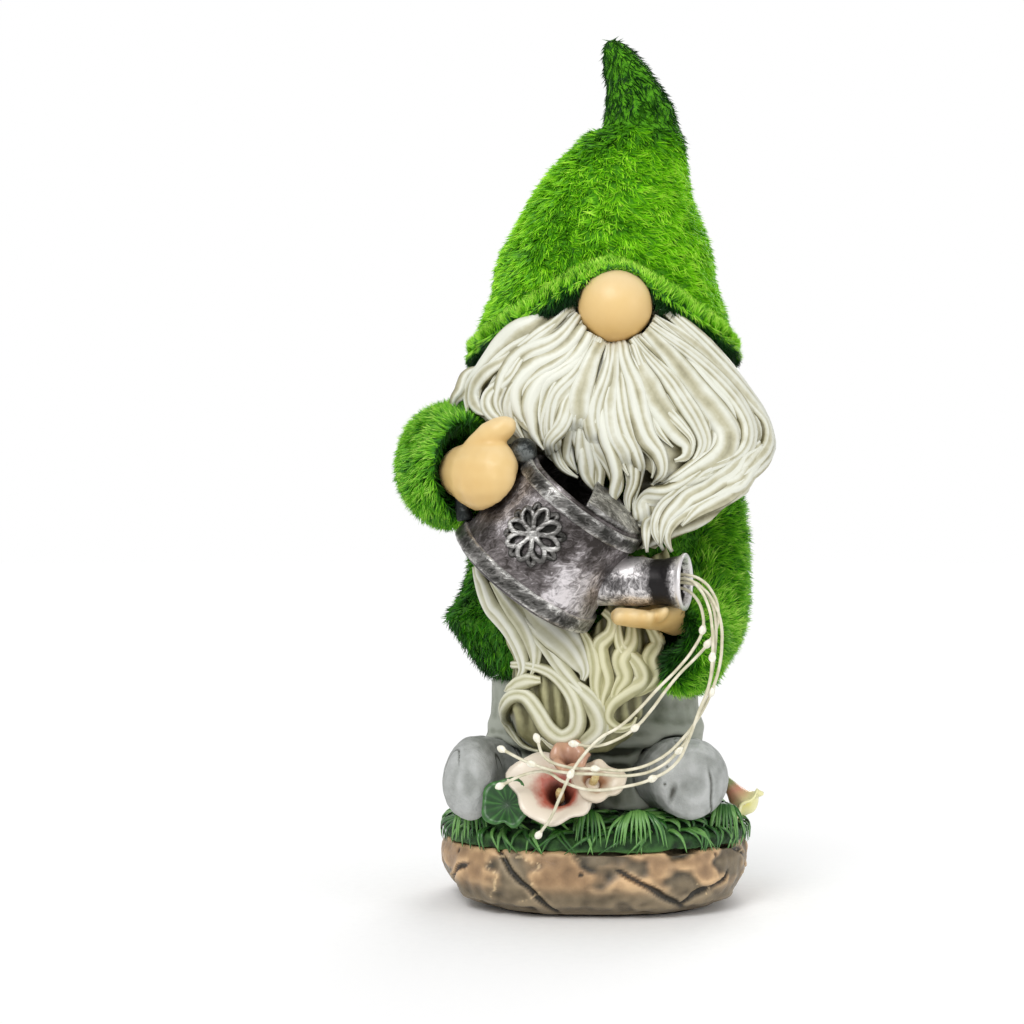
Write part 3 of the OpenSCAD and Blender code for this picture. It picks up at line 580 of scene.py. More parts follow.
def make_strand(name, route, lamps, wire, resin):
    """A cord along its route, with drops at the numbered points and at its free end."""
    curve = bpy.data.curves.new(name, "CURVE")
    curve.dimensions = "3D"
    curve.bevel_depth = STRAND_D / 2 * MM
    curve.bevel_resolution = 3
    curve.use_fill_caps = True
    line = curve.splines.new("BEZIER")
    line.resolution_u = 8
    line.bezier_points.add(len(route) - 1)
    for point, place in zip(line.bezier_points, route):
        point.co = Vector(place) * MM
        point.handle_left_type = point.handle_right_type = "AUTO"
    curve.materials.append(wire)
    cable = in_scene("light_" + name, curve)
    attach(cable, FIGURE)
    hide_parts(name)
    route = np.array(route)
    drops = [lamp_drop(route[i], route[min(i + 1, len(route) - 1)] - route[i - 1])
             for i in (*lamps, len(route) - 1)]
    lamps_piece = piece_of("lamps_" + name, joined(drops), resin, ["lamp_drops"])


wire_look = two_tone("strand_coating", (196, 190, 160), (232, 226, 204), (4, 2), (0.8, 2, 0.6, (1, 1, 3)),
                     0.05, (0.35, 0.65), roughness=0.4, coat=0.3)
resin_look = two_tone("lamp_resin", (226, 220, 196), (250, 248, 236), (1.5, 2), (0.7, 2), 0.06,
                      roughness=0.25, coat=0.5)
for strand_name, (strand_route, strand_lamps) in STRANDS.items():
    make_strand(strand_name, strand_route, strand_lamps, wire_look, resin_look)


# ---- Flock ----

LOCK_SIZE = 1.9      # fibres within a cube of this size lie the same way
OPEN_REACH = 200.0   # how far a fibre in the open sees nothing of its own skin
ROOT_PAINTED_SHADE = 0.45    # painted shade at a fibre's root: its lightness as a share of its tip's


def scattered(skin, count, rng):
    """Places spread evenly over a skin by area, with the normal at each."""
    skin.mesh.calc_loop_triangles()
    triangles = np.zeros(len(skin.mesh.loop_triangles) * 3, np.int32)
    skin.mesh.loop_triangles.foreach_get("vertices", triangles)
    triangles = triangles.reshape(-1, 3)
    a, b, c = (skin.points[triangles[:, i]] for i in range(3))
    area = np.linalg.norm(np.cross(b - a, c - a), axis=1)
    chosen = rng.choice(len(triangles), count, p=area / area.sum())
    u, v = rng.random((2, count))
    flip = u + v > 1
    u, v = np.where(flip, 1 - u, u), np.where(flip, 1 - v, v)
    share = np.stack([1 - u - v, u, v], axis=1)[:, :, None]
    rows = triangles[chosen]
    return (skin.points[rows] * share).sum(axis=1), unit((skin.normals[rows] * share).sum(axis=1))


def open_to_air(root, normal, tree):
    """Which places look out into the open and not into a hollow of the same skin."""
    keep = np.ones(len(root), bool)
    for i, (place, way) in enumerate(zip((root + normal * 0.6) * MM, normal)):
        keep[i] = tree.ray_cast(Vector(place), Vector(way), OPEN_REACH * MM)[0] is None
    return keep


def clear_of(root, tip, tree):
    """Which fibres don't run into another part."""
    keep = np.ones(len(root), bool)
    for i in range(len(root)):
        way = Vector(tip[i] - root[i])
        hit = tree.ray_cast(Vector(root[i]) * MM, way, way.length * MM * 1.15)
        keep[i] = hit[0] is None
    return keep


def spikes(root, tip, width, tones):
    """A thin closed spike for each fibre."""
    along = unit(tip - root)
    side = unit(np.cross(along, [0.3, 0.2, 0.9]))
    over = np.cross(side, along)
    base = [root - along * 0.5 + (side * math.cos(t) + over * math.sin(t)) * width / 2
            for t in turns(3)]
    points = np.stack([*base, tip], axis=1).reshape(-1, 3)
    first = np.arange(len(root))[:, None] * 4
    faces = np.concatenate([first + np.array(f) for f in ((0, 1, 3), (1, 2, 3), (2, 0, 3), (2, 1, 0))])
    return Shape(points, faces, shade=np.stack([tones[0]] * 3 + [tones[1]], axis=1).reshape(-1))


def swirl(normal, way, angle):
    """The comb direction laid on the surface and turned about the normal."""
    flat = unit(way - normal * np.sum(way * normal, axis=1, keepdims=True))
    return flat * np.cos(angle)[:, None] + np.cross(normal, flat) * np.sin(angle)[:, None]


def flocked(name, skin, count, length, width, comb, look, seed, brightness, avoid=None,
            lift=0.65, patch=13.0, only_open=False, keep=None):
    """Fibres combed over a skin. comb gives the way they lie and brightness their lightness by place."""
    rng = np.random.default_rng(seed)
    root, normal = scattered(skin, count, rng)
    if keep is not None:
        chosen = keep(root, normal)
        root, normal = root[chosen], normal[chosen]
    if only_open:
        chosen = open_to_air(root, normal, skin.tree())
        root, normal = root[chosen], normal[chosen]
    count = len(root)
    lock = np.floor(root / LOCK_SIZE + 0.35 * lumps(root, 3, seed)[:, None]).astype(np.int64)
    angle = 1.1 * lumps(root, patch, seed) + 1.5 * (hashed(lock, seed) - 0.5)
    angle += rng.normal(0, 0.3, count)
    flat = swirl(normal, comb(root, normal), angle)
    raised = lift + 0.5 * (hashed(lock, seed + 2) - 0.5) + rng.normal(0, 0.14, count)
    raised = np.clip(raised, 0.15, 1.2)[:, None]
    long = (length * rng.uniform(0.75, 1.15, count))[:, None]
    tip = root + long * (flat * np.cos(raised) + normal * np.sin(raised))
    if avoid is not None:
        chosen = clear_of(root, tip, avoid)
        root, tip, normal, lock = root[chosen], tip[chosen], normal[chosen], lock[chosen]
        count = len(root)
    light = (0.1 + 0.42 * rng.random(count) + 0.42 * hashed(lock, seed + 1)
             + 0.12 * lumps(root, patch, seed + 9))
    light = np.clip(light + brightness(root, normal), 0.02, 1.0)
    # Each fibre's root gets painted shade, and its tip the full lightness
    fibres = spikes(root, tip, width, (light * ROOT_PAINTED_SHADE, light))
    piece_of(name, fibres, look, flat=True)


def hanging_down(root, normal):
    """Comb direction of fibres that lie straight down."""
    return np.broadcast_to(DOWN, root.shape)


def flock_ground(skin, name, dark, light, nodes):
    """The glued ground under the fibres."""
    glue = two_tone(name + "_glue", dark, light, (1.2, 3), (0.5, 3), 0.5, (0.3, 0.75), roughness=0.8,
                    specular=0.2)
    piece_of(name, skin, glue, nodes)


# ---- Hat ----

BRIM_CENTRE = np.array([2.8, 1.0, 0.0])
TIP_H = 30.0   # height of the hat's bent tip, which has shorter fibres


def brim_middle(place):
    """Height of the middle of the brim's roll at the angle of each place round the head."""
    around = unit((place - BRIM_CENTRE) * [1, 1, 0])
    front = 192.2 - 23.9 * np.sqrt(around[:, 0] ** 2 + 0.03)
    return np.where(around[:, 1] < 0, front, 168 - 10 * around[:, 1])


def make_hat():
    """Crown and rolled brim: glued ground and fibres, darker on the tip, with painted shade under the roll.
    """
    top = corners("hat_crown")[1][2]
    crown = Skin(cad_shape("hat_crown"), 0.9, 2)
    crown.push(-1.35 + 0.75 * ease(crown.points[:, 2], top - 40, top - 8))
    brim = Skin(cad_shape("hat_brim"), 0.7, 4)
    brim.push(np.full(len(brim.points), -1.3))
    flock_ground(crown, "hat_felt", (44, 108, 8), (104, 180, 30), ["hat_crown"])
    flock_ground(brim, "brim_felt", (12, 44, 8), (46, 104, 18), ["hat_brim"])
    look = flock_finish("hat_fibres", (0.0, (14, 58, 6)), (0.24, (84, 162, 12)), (0.52, (148, 222, 32)),
                        (0.9, (212, 250, 96)))
    neighbours = cad_tree("nose", "head")

    def tip_is_darker(root, normal):
        return -0.85 * ease(root[:, 2], top - 42, top - 14) + 0.06 * ease(root[:, 0], 5, 34)

    def combed(root, normal):
        outward = unit(root * [1, 1, 0] - [2.8, 0, 0])
        return DOWN + outward * 0.3

    def below_tip(root, normal):
        return root[:, 2] < top - TIP_H

    flocked("hat_fibres", crown, 44000, 3.2, 0.72, combed, look, 11, tip_is_darker,
            keep=below_tip, lift=0.5)
    flocked("hat_tip_fibres", crown, 30000, 2.4, 0.6, combed, look, 12, tip_is_darker,
            keep=lambda root, normal: ~below_tip(root, normal), lift=0.32, patch=16)
    roll_look = flock_finish("brim_fibres", (0.0, (12, 48, 14)), (0.28, (44, 108, 32)),
                             (0.55, (136, 212, 36)), (0.9, (208, 248, 104)))

    def brim_comb(root, normal):
        outward = unit((root - BRIM_CENTRE) * [1, 1, 0])
        high = root[:, 2:3] > brim_middle(root)[:, None] + 0.5
        return np.where(high, UP + outward * 0.4, DOWN * 0.8 - outward * 0.3)

    # Painted shade under the roll and a little painted light on its ridge, on the front only
    def brim_painted_light_and_shade(root, normal):
        rise = root[:, 2] - brim_middle(root)
        front = ease(-root[:, 1], -16, 0)
        ridge = ease(rise, -1.8, 0.4)
        return 0.1 + front * (0.12 * ridge - 0.9 * (1 - ridge))

    flocked("brim_fibres", brim, 26000, 3.0, 0.58, brim_comb, roll_look, 21, brim_painted_light_and_shade,
            avoid=neighbours, lift=0.75, patch=9)


make_hat()


# ---- Coat and sleeves ----

UNDERSIDE_H = 4.0      # the coat's lowest part, where what faces down has no fibres
LEFT_WRIST = [16, 4]   # middle of the left wrist from the corner of its sleeve's box, in X and Y


def make_coat():
    """Coat and sleeves: glued ground and fibres, with painted shade inside the cuffs and under the hem."""
    look = flock_finish("coat_fibres", (0.0, (14, 56, 8)), (0.28, (52, 122, 16)), (0.58, (118, 194, 34)),
                        (0.9, (198, 238, 106)))
    coat = Skin(cad_shape("coat"), 1.0, 2)
    coat.push(np.full(len(coat.points), -1.2))
    flock_ground(coat, "coat_felt", (26, 74, 8), (84, 146, 30), ["coat"])
    low = corners("coat")[0][2]
    in_the_way = cad_tree("solar_housing", "beard_upper", "beard_lower", "can_drum", "hand_right",
                          "hand_left", "can_spout", "battery_door", "switch_button", "solar_panel")

    # The right flap is darker, and fibres that face down get painted shade
    def darker_flap_and_painted_shade_below(root, normal):
        right_flap = ease(-root[:, 0], 15, 30) * ease(-root[:, 2], -112, -96)
        return -0.34 * right_flap - 0.3 * ease(-normal[:, 2], 0.5, 0.95)

    def above_hem(root, normal):
        return (normal[:, 2] > -0.85) | (root[:, 2] > low + UNDERSIDE_H)

    flocked("coat_fibres", coat, 46000, 3.4, 0.62, hanging_down, look, 31,
            darker_flap_and_painted_shade_below, avoid=in_the_way, only_open=True, keep=above_hem)
    for side in ("right", "left"):
        node = "sleeve_" + side
        sleeve = Skin(cad_shape(node), 0.9, 3)
        swell = np.zeros(len(sleeve.points))
        if side == "left":
            wrist = corners(node)[0][:2] + LEFT_WRIST
            swell = 3.4 * ease(-np.hypot(*(sleeve.points[:, :2] - wrist).T), -13, -5)
        sleeve.push(swell - 1.0)
        flock_ground(sleeve, node + "_felt", (16, 54, 10), (60, 118, 22), [node])
        hand = middle("hand_" + side)
        in_front = ("can_drum", "can_spout", "can_handle")
        near = cad_tree(*in_front, *(("hand_right",) if side == "right" else ()))

        # Painted shade on fibres near the hand that face into the cuff
        def cuff_painted_shade(root, normal):
            far = np.linalg.norm(root - hand, axis=1)
            towards = np.sum(normal * unit(hand - root), axis=1)
            return 0.08 - 0.66 * ease(towards, -0.2, 0.4) * ease(-far, -22, -15)

        def sleeve_comb(root, normal):
            return unit(hand - root) * -0.7 + DOWN * 0.5

        flocked(node + "_fibres", sleeve, 20000, 3.6, 0.62, sleeve_comb, look,
                41 if side == "right" else 42, cuff_painted_shade, avoid=near, patch=10)


make_coat()


# ---- Hands, nose and head ----

# Where the left wrist starts to rise into its cuff, and how steeply
WRIST_X, WRIST_RISE = 14, 0.35
NOSE_R = 10.85
# The streaks on the head spread from here
STREAK_X, STREAK_Z = 4.6, 184


def skin_paint():
    """Warm paint, with painted light on what stands out and looks up, as the light tone says."""
    look = Finish("skin_paint", roughness=0.42, specular=0.45)
    base = look.ramp(look.mottled("light", 9, 3, 0.3), (0.0, (172, 126, 70)), (0.35, (214, 176, 110)),
                     (0.75, (222, 190, 130)), (1.0, (228, 202, 152)))
    return look.done(base, look.noise(1.4, 3), 0.06)


def make_hands():
    paint = skin_paint()
    for side in ("right", "left"):
        hand = Skin(cad_shape("hand_" + side), 0.5, 14)
        if side == "left":
            hand.set_points(hand.points + UP * (WRIST_RISE * np.maximum(hand.points[:, :1] - WRIST_X, 0)))
        hand.push(0.15 * rough(hand.points, 5, 2, 7))
        cavity = hand.cavity(30, 0.5)
        # Painted light on what looks up and stands out, and painted shade in hollows
        hand.tone("light", np.clip(cavity * 0.8 + 0.26 * hand.normals[:, 2] + 0.16, 0, 1))
        cast("hand_" + side, hand, paint)
    nose = Skin(cad_shape("nose"), 0.7, 4)
    centre = middle("nose")
    out = unit(nose.points - centre)
    nose.set_points(centre + out * (NOSE_R + 0.12 * lumps(nose.points, 9, 3))[:, None])
    # Painted light on the top and front of the nose
    nose.tone("light", np.clip(0.62 + 0.42 * out[:, 2] + 0.1 * -out[:, 1], 0, 1))
    cast("nose", nose, paint)


def make_head():
    """Head behind the nose, streaked like the beard that covers it."""
    head = Skin(cad_shape("head"), 0.9, 6)
    fan = np.arctan2(head.points[:, 0] - STREAK_X, head.points[:, 2] - STREAK_Z)
    streaks = np.sin(fan * 46 + 2 * lumps(head.points, 7, 4))
    head.push(0.22 * streaks - 0.2)
    # Painted shade in the grooves between the streaks
    head.tone("cavity", np.clip(0.62 + 0.12 * streaks, 0, 1))
    paint = painted("face_paint", (128, 124, 92), (206, 204, 178), (228, 226, 208), 0.55)
    cast("head", head, paint)


make_hands()
make_head()


# ---- Beard ----

# Main locks of the upper beard as (x, z) points from the root under the nose and brim to the tip
UPPER_LOCKS = [
    [(-9, 181), (-17, 175), (-26, 170), (-33, 163), (-38, 155), (-38.5, 148)],
    [(-6, 176), (-14, 169), (-22, 164), (-28, 158), (-30, 151), (-27, 146)],
    [(-5, 173), (-12, 166), (-19, 161), (-24, 154), (-24, 147), (-21, 142)],
    [(-3, 171), (-10, 162), (-17, 156), (-21, 149), (-20, 142), (-16, 137.5)],
    [(-1, 170), (-7, 160), (-13, 153), (-14, 145), (-12.5, 137.5), (-10, 132.5), (-6, 129.5)],
    [(1, 169.5), (-3, 159), (-6.5, 151), (-7, 143), (-4.5, 136), (-3.5, 130), (0, 125)],
    [(3, 169), (1, 158), (-1, 149), (-0.5, 140.5), (2.5, 133.5), (4, 127), (2.5, 122), (5, 118.5)],
    [(5, 169), (5, 158), (3.5, 149), (4, 141), (7.5, 134.5), (9.5, 128), (8.5, 122.5), (9.5, 118)],
    [(6.5, 169), (9, 158), (10, 149), (13, 142), (17, 136.5), (17.5, 131), (15, 127)],
    [(8, 169.5), (13, 158), (16, 149.5), (21, 142.5), (25.5, 138.5), (25, 134.5), (21.5, 133)],
    [(10, 170), (17, 160), (22.5, 151.5), (28.5, 144.5), (31, 139), (28.5, 134), (22.5, 130.5)],
    [(12.5, 171), (21, 163), (28, 155), (34, 148), (37.5, 141), (34.5, 135), (25, 130), (14, 124)],
    [(15, 174), (25, 166.5), (33, 158.5), (39.5, 150), (42.5, 142), (40, 135.5), (31.5, 131), (22, 125),
     (14, 119)],
    [(17, 178), (28.5, 170.5), (37.5, 161.5), (43.5, 152.5), (47.5, 145), (48, 138), (44, 132), (37, 127),
     (29, 122), (23, 117)],
]
# Short locks beside the hand and over the can's mouth
SHORT_LOCKS = [
    [(-34, 162), (-39, 158), (-42.5, 153.5), (-42, 149.5)],
    [(-26, 166), (-32, 160), (-36, 154), (-35.5, 149), (-31.5, 146)],
    [(-22, 163), (-27.5, 157.5), (-31.5, 152), (-31, 146.5), (-26.5, 142)],
    [(-18, 161), (-23, 155), (-26.5, 149.5), (-25.5, 144), (-20.5, 139.5)],
    [(-3, 162), (-6, 154), (-7.5, 147), (-5.5, 140), (-4, 135)],
    [(-5, 158), (-9, 149), (-13.5, 142), (-14.5, 137.5), (-12, 133.5)],
    [(-3, 157), (-5.5, 148), (-9.5, 140), (-10, 134.5), (-6.5, 130)],
    [(0, 156), (-1.5, 147), (-5, 139), (-5.5, 132.5), (-2, 127.5)],
]
# Tail of the beard that sweeps back across the chest
TAIL_LOCKS = [
    [(40, 134), (30, 128.5), (20, 123), (15, 118), (13, 113), (13.5, 108)],
    [(32, 131), (22, 126), (15.5, 122), (12.5, 116), (10, 111), (8.5, 107.5)],
    [(46, 139), (41, 132), (33, 126.5), (24.5, 122), (19, 116), (17.5, 110)],
    [(44, 136), (36, 130.5), (27, 125), (20, 120), (16.5, 114), (17.5, 108.5)],
    [(48.5, 143), (48, 137), (43, 130), (36, 125), (28, 120.5), (23, 115)],
    [(47.5, 141), (45, 134.5), (39.7, 128), (29, 122), (22.5, 117.5), (19.5, 112.5), (21, 108)],
]
# Locks of the lower beard: points, half width and how white it is, from 0 for cream to 1
LOWER_LOCKS = [
    ([(-35.5, 103), (-34, 97), (-31, 91), (-26, 85), (-23, 79), (-22, 73), (-24.5, 69)], 3.2, 1.0),
    ([(-31, 99), (-27, 93), (-22.5, 87), (-19.5, 81), (-18.5, 75), (-20, 71)], 3.0, 0.9),
    ([(-26, 92), (-22, 87), (-16.5, 81.5), (-12.5, 76), (-9, 71), (-5, 66), (-2, 61)], 2.6, 0.8),
    ([(-24, 96), (-18.6, 90.5), (-12.5, 84.5), (-7, 78), (-4.5, 73), (-5, 70)], 6.2, 1.0),
    ([(-11, 71), (-5, 66.5), (-1, 61), (-0.5, 55.5), (-5, 51.5), (-12, 50.5), (-17, 53)], 3.2, 0.8),
    ([(-25, 74), (-20, 74), (-14, 72), (-9, 67), (-6.5, 61), (-7, 55.5), (-11, 53), (-15, 55.5),
      (-18, 60.5), (-21.5, 65), (-25.5, 64.5), (-27.5, 60), (-26.5, 54), (-23, 50), (-17.5, 49)], 2.7, 0.7),
    ([(-17, 70), (-21, 69.5), (-24.5, 68), (-27, 66)], 2.4, 0.6),
    ([(9, 87), (9, 81), (6, 76), (7, 71), (4.5, 67), (3, 62)], 3.0, 0.2),
    ([(13.5, 87), (16.5, 81), (14.5, 76), (16, 71), (12.5, 67), (9, 65)], 3.0, 0.2),
    ([(17.5, 87), (16.5, 82), (19, 77), (17, 72.5), (14, 68)], 2.9, 0.15),
    ([(5, 87), (6, 80), (11, 74.5), (12, 70), (7, 66.5), (3, 63), (2, 59), (5, 56), (9, 56.5),
      (10.5, 59)], 2.9, 0.3),
    ([(1, 90), (3.5, 87.5), (3, 83.5), (0, 80), (0.5, 75.5), (2, 70), (0.5, 64), (1, 59)], 2.7, 0.25),
    ([(-5, 84), (-3, 80), (-1, 74), (-1, 68), (0, 62)], 2.4, 0.3),
]


def lock_of_hair(path, over, width, height, grooves, roll, phase):
    """Lock with grooves along its front: its cavity tone is low in them and along its sides, which paints
    shade there.
    """
    around = 22
    share = np.linspace(0, 1, len(path))
    taper = np.minimum(0.45 + 1.6 * share, 1) * np.clip(1.12 - share ** 4 - 0.04, 0.16, 1)
    angle = turns(around)
    across, rise = np.cos(angle), np.sin(angle)
    wave = 0.5 + 0.5 * np.cos(across * grooves * math.pi + phase)
    shallow = np.where(rise > 0, 1 - 0.32 * (1 - wave), 1)
    _, side, top = path_frames(path, over)
    tilt = roll * np.sin(share * 5.0 + phase)[:, None]
    side, top = side * np.cos(tilt) + top * np.sin(tilt), top * np.cos(tilt) - side * np.sin(tilt)
    wide = (width * taper)[:, None]
    high = (height * taper ** 0.7)[:, None]
    rings = swept(path, side, top, wide * across, high * (rise * shallow))
    # Painted shade in the grooves, on the sides and underneath, and lighter on the front
    tone = np.where(rise > 0.05, 0.2 + (0.22 + 0.5 * wave) * np.sqrt(np.maximum(rise, 0)), 0.08)
    return stacked(rings, cavity=np.broadcast_to(tone, (len(path), around)))


DRAPE_STEPS = 5            # points of a draped path for each of its keys
RAY_START_Y = -90          # in front of everything
TO_FRONT = [0.6, 1, 0.5]   # turns a surface's directions partly to the front


class Drape:
    """Lays flat outlines on the front of CAD nodes."""

    def __init__(self, *nodes):
        self.tree = cad_tree(*nodes)

    def laid(self, flat, sink, keys=9):
        """A smooth path through (x, z) points that lies on the surface, and the surface's directions."""
        line = evenly([(x, 0, z) for x, z in flat], keys * DRAPE_STEPS)
        over = np.tile(FORWARD, (len(line), 1))
        depth = np.full(len(line), np.nan)
        for i, (x, _, z) in enumerate(line):
            place, normal = self.tree.ray_cast(Vector((x, RAY_START_Y, z)) * MM, Vector((0, 1, 0)))[:2]
            if place is not None:
                depth[i] = place.y / MM
                over[i] = np.array(normal) if normal.y < 0 else FORWARD
        known = np.flatnonzero(~np.isnan(depth))
        depth = np.interp(np.arange(len(line)), known, depth[known])
        for _ in range(6):
            depth[1:-1] = (depth[:-2] + 2 * depth[1:-1] + depth[2:]) / 4
            over[1:-1] = (over[:-2] + 2 * over[1:-1] + over[2:]) / 4
        over = unit(over * TO_FRONT)
        line[:, 1] = depth
        return line - over * sink, over


def blended(first, second, share):
    """Outline between two others, each taken at evenly spaced places."""
    count = 10
    return evenly(first, count) * (1 - share) + evenly(second, count) * share


# The casting is cut away for the can, so below ARCH_TOP the locks keep a shallow arch in front of it
ARCH_TOP, ARCH_X, ARCH_FRONT, ARCH_BEND = 158, 4, -38, 0.016
# The grooves fan out from (FAN_X, FAN_Z), and below TAIL_TOP they follow the tail
FAN_X, FAN_Z, TAIL_TOP = 5, 186, 128


def make_beard():
    """Upper beard: thin locks between the main ones, the main ones, the tail and the short ones."""
    rng = np.random.default_rng(5)
    drape = Drape("beard_upper", "beard_lock", "head")
    white = painted("beard_paint", (104, 98, 66), (184, 180, 152), (220, 221, 208), 0.45, 0.5, 0.04)
    locks = []

    def add(flat, width, height, sink, roll=0.25):
        path, over = drape.laid(flat, sink)
        wander = np.sin(np.linspace(0, 9, len(path)) + rng.uniform(0, 6))[:, None]
        sway = np.sin(np.linspace(0, rng.uniform(6, 11), len(path)) + rng.uniform(0, 6))[:, None]
        arch = ARCH_FRONT + ARCH_BEND * (path[:, 0] - ARCH_X) ** 2
        path[:, 1] = np.where(path[:, 2] < ARCH_TOP, np.minimum(path[:, 1], arch), path[:, 1])
        path = path + over * wander * 0.5 + np.cross(over, unit(np.gradient(path, axis=0))) * sway * 0.9
        locks.append(lock_of_hair(path, over, width, height, rng.integers(1, 4), roll,
                                  rng.uniform(0, 6)))

    for first, second in zip(UPPER_LOCKS, UPPER_LOCKS[1:]):
        for share in (0.33, 0.67):
            flat = blended(first, second, share + rng.uniform(-0.1, 0.1))
            flat[-1] += rng.uniform(-1.5, 1.5, 2)
            add(flat[:rng.integers(8, 11)], rng.uniform(2.0, 2.7), rng.uniform(1.6, 2.2),
                rng.uniform(-0.5, 0.9))
    for flat in UPPER_LOCKS:
        add(flat, rng.uniform(3.0, 3.9), 2.7, rng.uniform(-1.1, 0.1))
    for flat in TAIL_LOCKS:
        add(flat, 3.4, 2.6, rng.uniform(-1.4, -0.4), 0.4)
    for flat in SHORT_LOCKS:
        add(flat, 2.6, 2.0, -0.6)
    body = Skin(cad_shape("beard_upper", "beard_lock"), 0.8, 4)
    points = body.points
    fan = np.arctan2(points[:, 0] - FAN_X, FAN_Z - points[:, 2]) * 30
    sweep = points[:, 2] * 1.4 - points[:, 0] * 0.5
    streaks = np.sin(np.where(points[:, 2] < TAIL_TOP, sweep, fan) + 1.5 * lumps(points, 9, 4))
    body.push(0.45 * streaks + 0.3 * rough(points, 4, 2, 3) - 1.1)
    # Painted shade in the grooves of the streaks
    inner = body.shape(cavity=0.42 + 0.2 * streaks)
    piece_of("beard_upper_cast", joined([inner, *locks]), white, ["beard_upper", "beard_lock"])


def make_lower_beard():
    """Lower beard: white waves and a curl on one side, cream locks on the other."""
    rng = np.random.default_rng(8)
    drape = Drape("beard_lower", "coat", "trouser_right", "trouser_left")
    look = Finish("curl_paint", roughness=0.45)
    # The cavity tone puts painted shade in the grooves of both the cream and the white
    groove = look.mottled("cavity", 6, 4, 0.4)
    cream = look.ramp(groove, (0.18, (84, 80, 42)), (0.48, (172, 168, 118)), (0.78, (212, 208, 164)))
    white = look.ramp(groove, (0.18, (92, 88, 56)), (0.48, (182, 180, 150)), (0.78, (216, 216, 202)))
    paint = look.done(look.mix(look.tone("white"), cream, white), look.noise(0.6, 3), 0.05)
    locks = []
    for flat, width, whiteness in LOWER_LOCKS:
        path, over = drape.laid(flat, -0.6, keys=12)
        lock = lock_of_hair(path, over, width, min(width, 2.4), 2 if width < 4 else 3, 0.35,
                            rng.uniform(0, 6))
        lock.tones["white"] = np.full(len(lock.points), whiteness)
        locks.append(lock)
    body = Skin(cad_shape("beard_lower"), 0.9, 4)
    x, _, z = body.points.T
    waves = ease(z, 50, 62) * np.sin(x * 1.5 + 2.2 * lumps(body.points, 9, 6) + z * 0.12)
    body.push(0.45 * waves + 0.3 * rough(body.points, 5, 2, 13) - 1.0)
    # Painted shade in the hollows between the waves
    inner = body.shape(cavity=0.26 + 0.16 * waves, white=np.full(len(body.points), 0.3))
    cast("beard_lower", joined([inner, *locks]), paint)


make_beard()
make_lower_beard()


# ---- Watering can ----

CAN_H = 33.0
CAN_D_FLOOR = 46.8
CAN_D_RIM = 38.0
FLOOR_BAND = (1.0, 5.5)
RIM_BAND = (28.0, 32.2)
BAND_T = 1.2
KNOB_R = 4.2
SPOUT_L = 28.0
SPOUT_D = 14.4
MOUTH_D = 16.6
SPOUT_YAW = math.radians(19)


def can_frame():
    """Axes and origin of the can, from its bands and its handle."""
    low_ring, high_ring = middle("can_band_floor"), middle("can_band_rim")
    up = unit(high_ring - low_ring)
    back = middle("can_handle") - low_ring
    x = -unit(back - up * np.dot(back, up))
    origin = low_ring - up * (FLOOR_BAND[0] + FLOOR_BAND[1]) / 2
    return np.stack([x, np.cross(up, x), up], axis=1), origin


def can_r(z):
    """Radius of the drum at a height."""
    return (CAN_D_FLOOR + (CAN_D_RIM - CAN_D_FLOOR) * np.asarray(z) / CAN_H) / 2


def dented(rings, depth, size, seed):
    """Rings with dents and bumps of a depth and size, square off the Z axis."""
    flat = np.reshape(rings, (-1, 3))
    push = depth * rough(flat, size, 3, seed)[:, None]
    return (flat + unit(flat * [1, 1, 0]) * push).reshape(np.shape(rings))


def revolved(profile, around, dent=0.0, seed=0):
    """Solid between two end discs from (radius, height) pairs, with small dents, round Z."""
    angle = turns(around)
    rings = dented([polar(r, angle, z) for r, z in profile], dent, 6, seed)
    return stacked(rings, cavity=np.full(rings.shape[:2], 0.5))


def along_profile(profile, step):
    """Profile with more points between those given, about a step apart."""
    rows = []
    for (r0, z0), (r1, z1) in zip(profile, profile[1:]):
        count = max(1, int(math.hypot(r1 - r0, z1 - z0) / step))
        rows += [(r0 + (r1 - r0) * i / count, z0 + (z1 - z0) * i / count) for i in range(count)]
    return rows + [profile[-1]]


def pewter(name, dark, light, streak, roughness=0.42, edge=0.35):
    """Dark pewter with silver brushed over what stands out."""
    look = Finish(name, metallic=0.75, roughness=roughness)
    brushed = look.noise(1.5, 6, 0.75, stretch=streak, distortion=1.2)
    clouds = look.noise(10, 3)
    value = look.math("ADD", look.math("MULTIPLY", brushed, 1.1), look.math("MULTIPLY", clouds, 0.8))
    value = look.math("SUBTRACT", value, 0.42)
    raised = look.math("MULTIPLY", look.math("SUBTRACT", look.tone("cavity"), 0.5), edge * 2)
    value = look.math("ADD", value, raised)
    halfway = tuple((d + l) // 2 - 24 for d, l in zip(dark, light))
    base = look.ramp(value, (0.34, dark), (0.56, halfway), (0.8, light))
    return look.done(base, brushed, 0.16)


def band_ring(z, seed):
    """Raised band round the drum with worn, uneven edges."""
    t = turns(14)
    out = BAND_T * np.clip(np.cos(t) * 1.4, -0.9, 1)
    height = (z[0] + z[1]) / 2 + (z[1] - z[0]) / 2 * np.clip(np.sin(t) * 1.25, -1, 1)
    rings = dented([polar(can_r(height) + out, a, height) for a in turns(120)], 0.22, 3.5, seed)
    edge = np.clip(0.5 + 0.42 * np.abs(np.sin(t)) ** 2 * (np.cos(t) > -0.2) - 0.1, 0, 1)
    return stacked(rings, closed_loop=True, cavity=np.broadcast_to(edge, rings.shape[:2]))


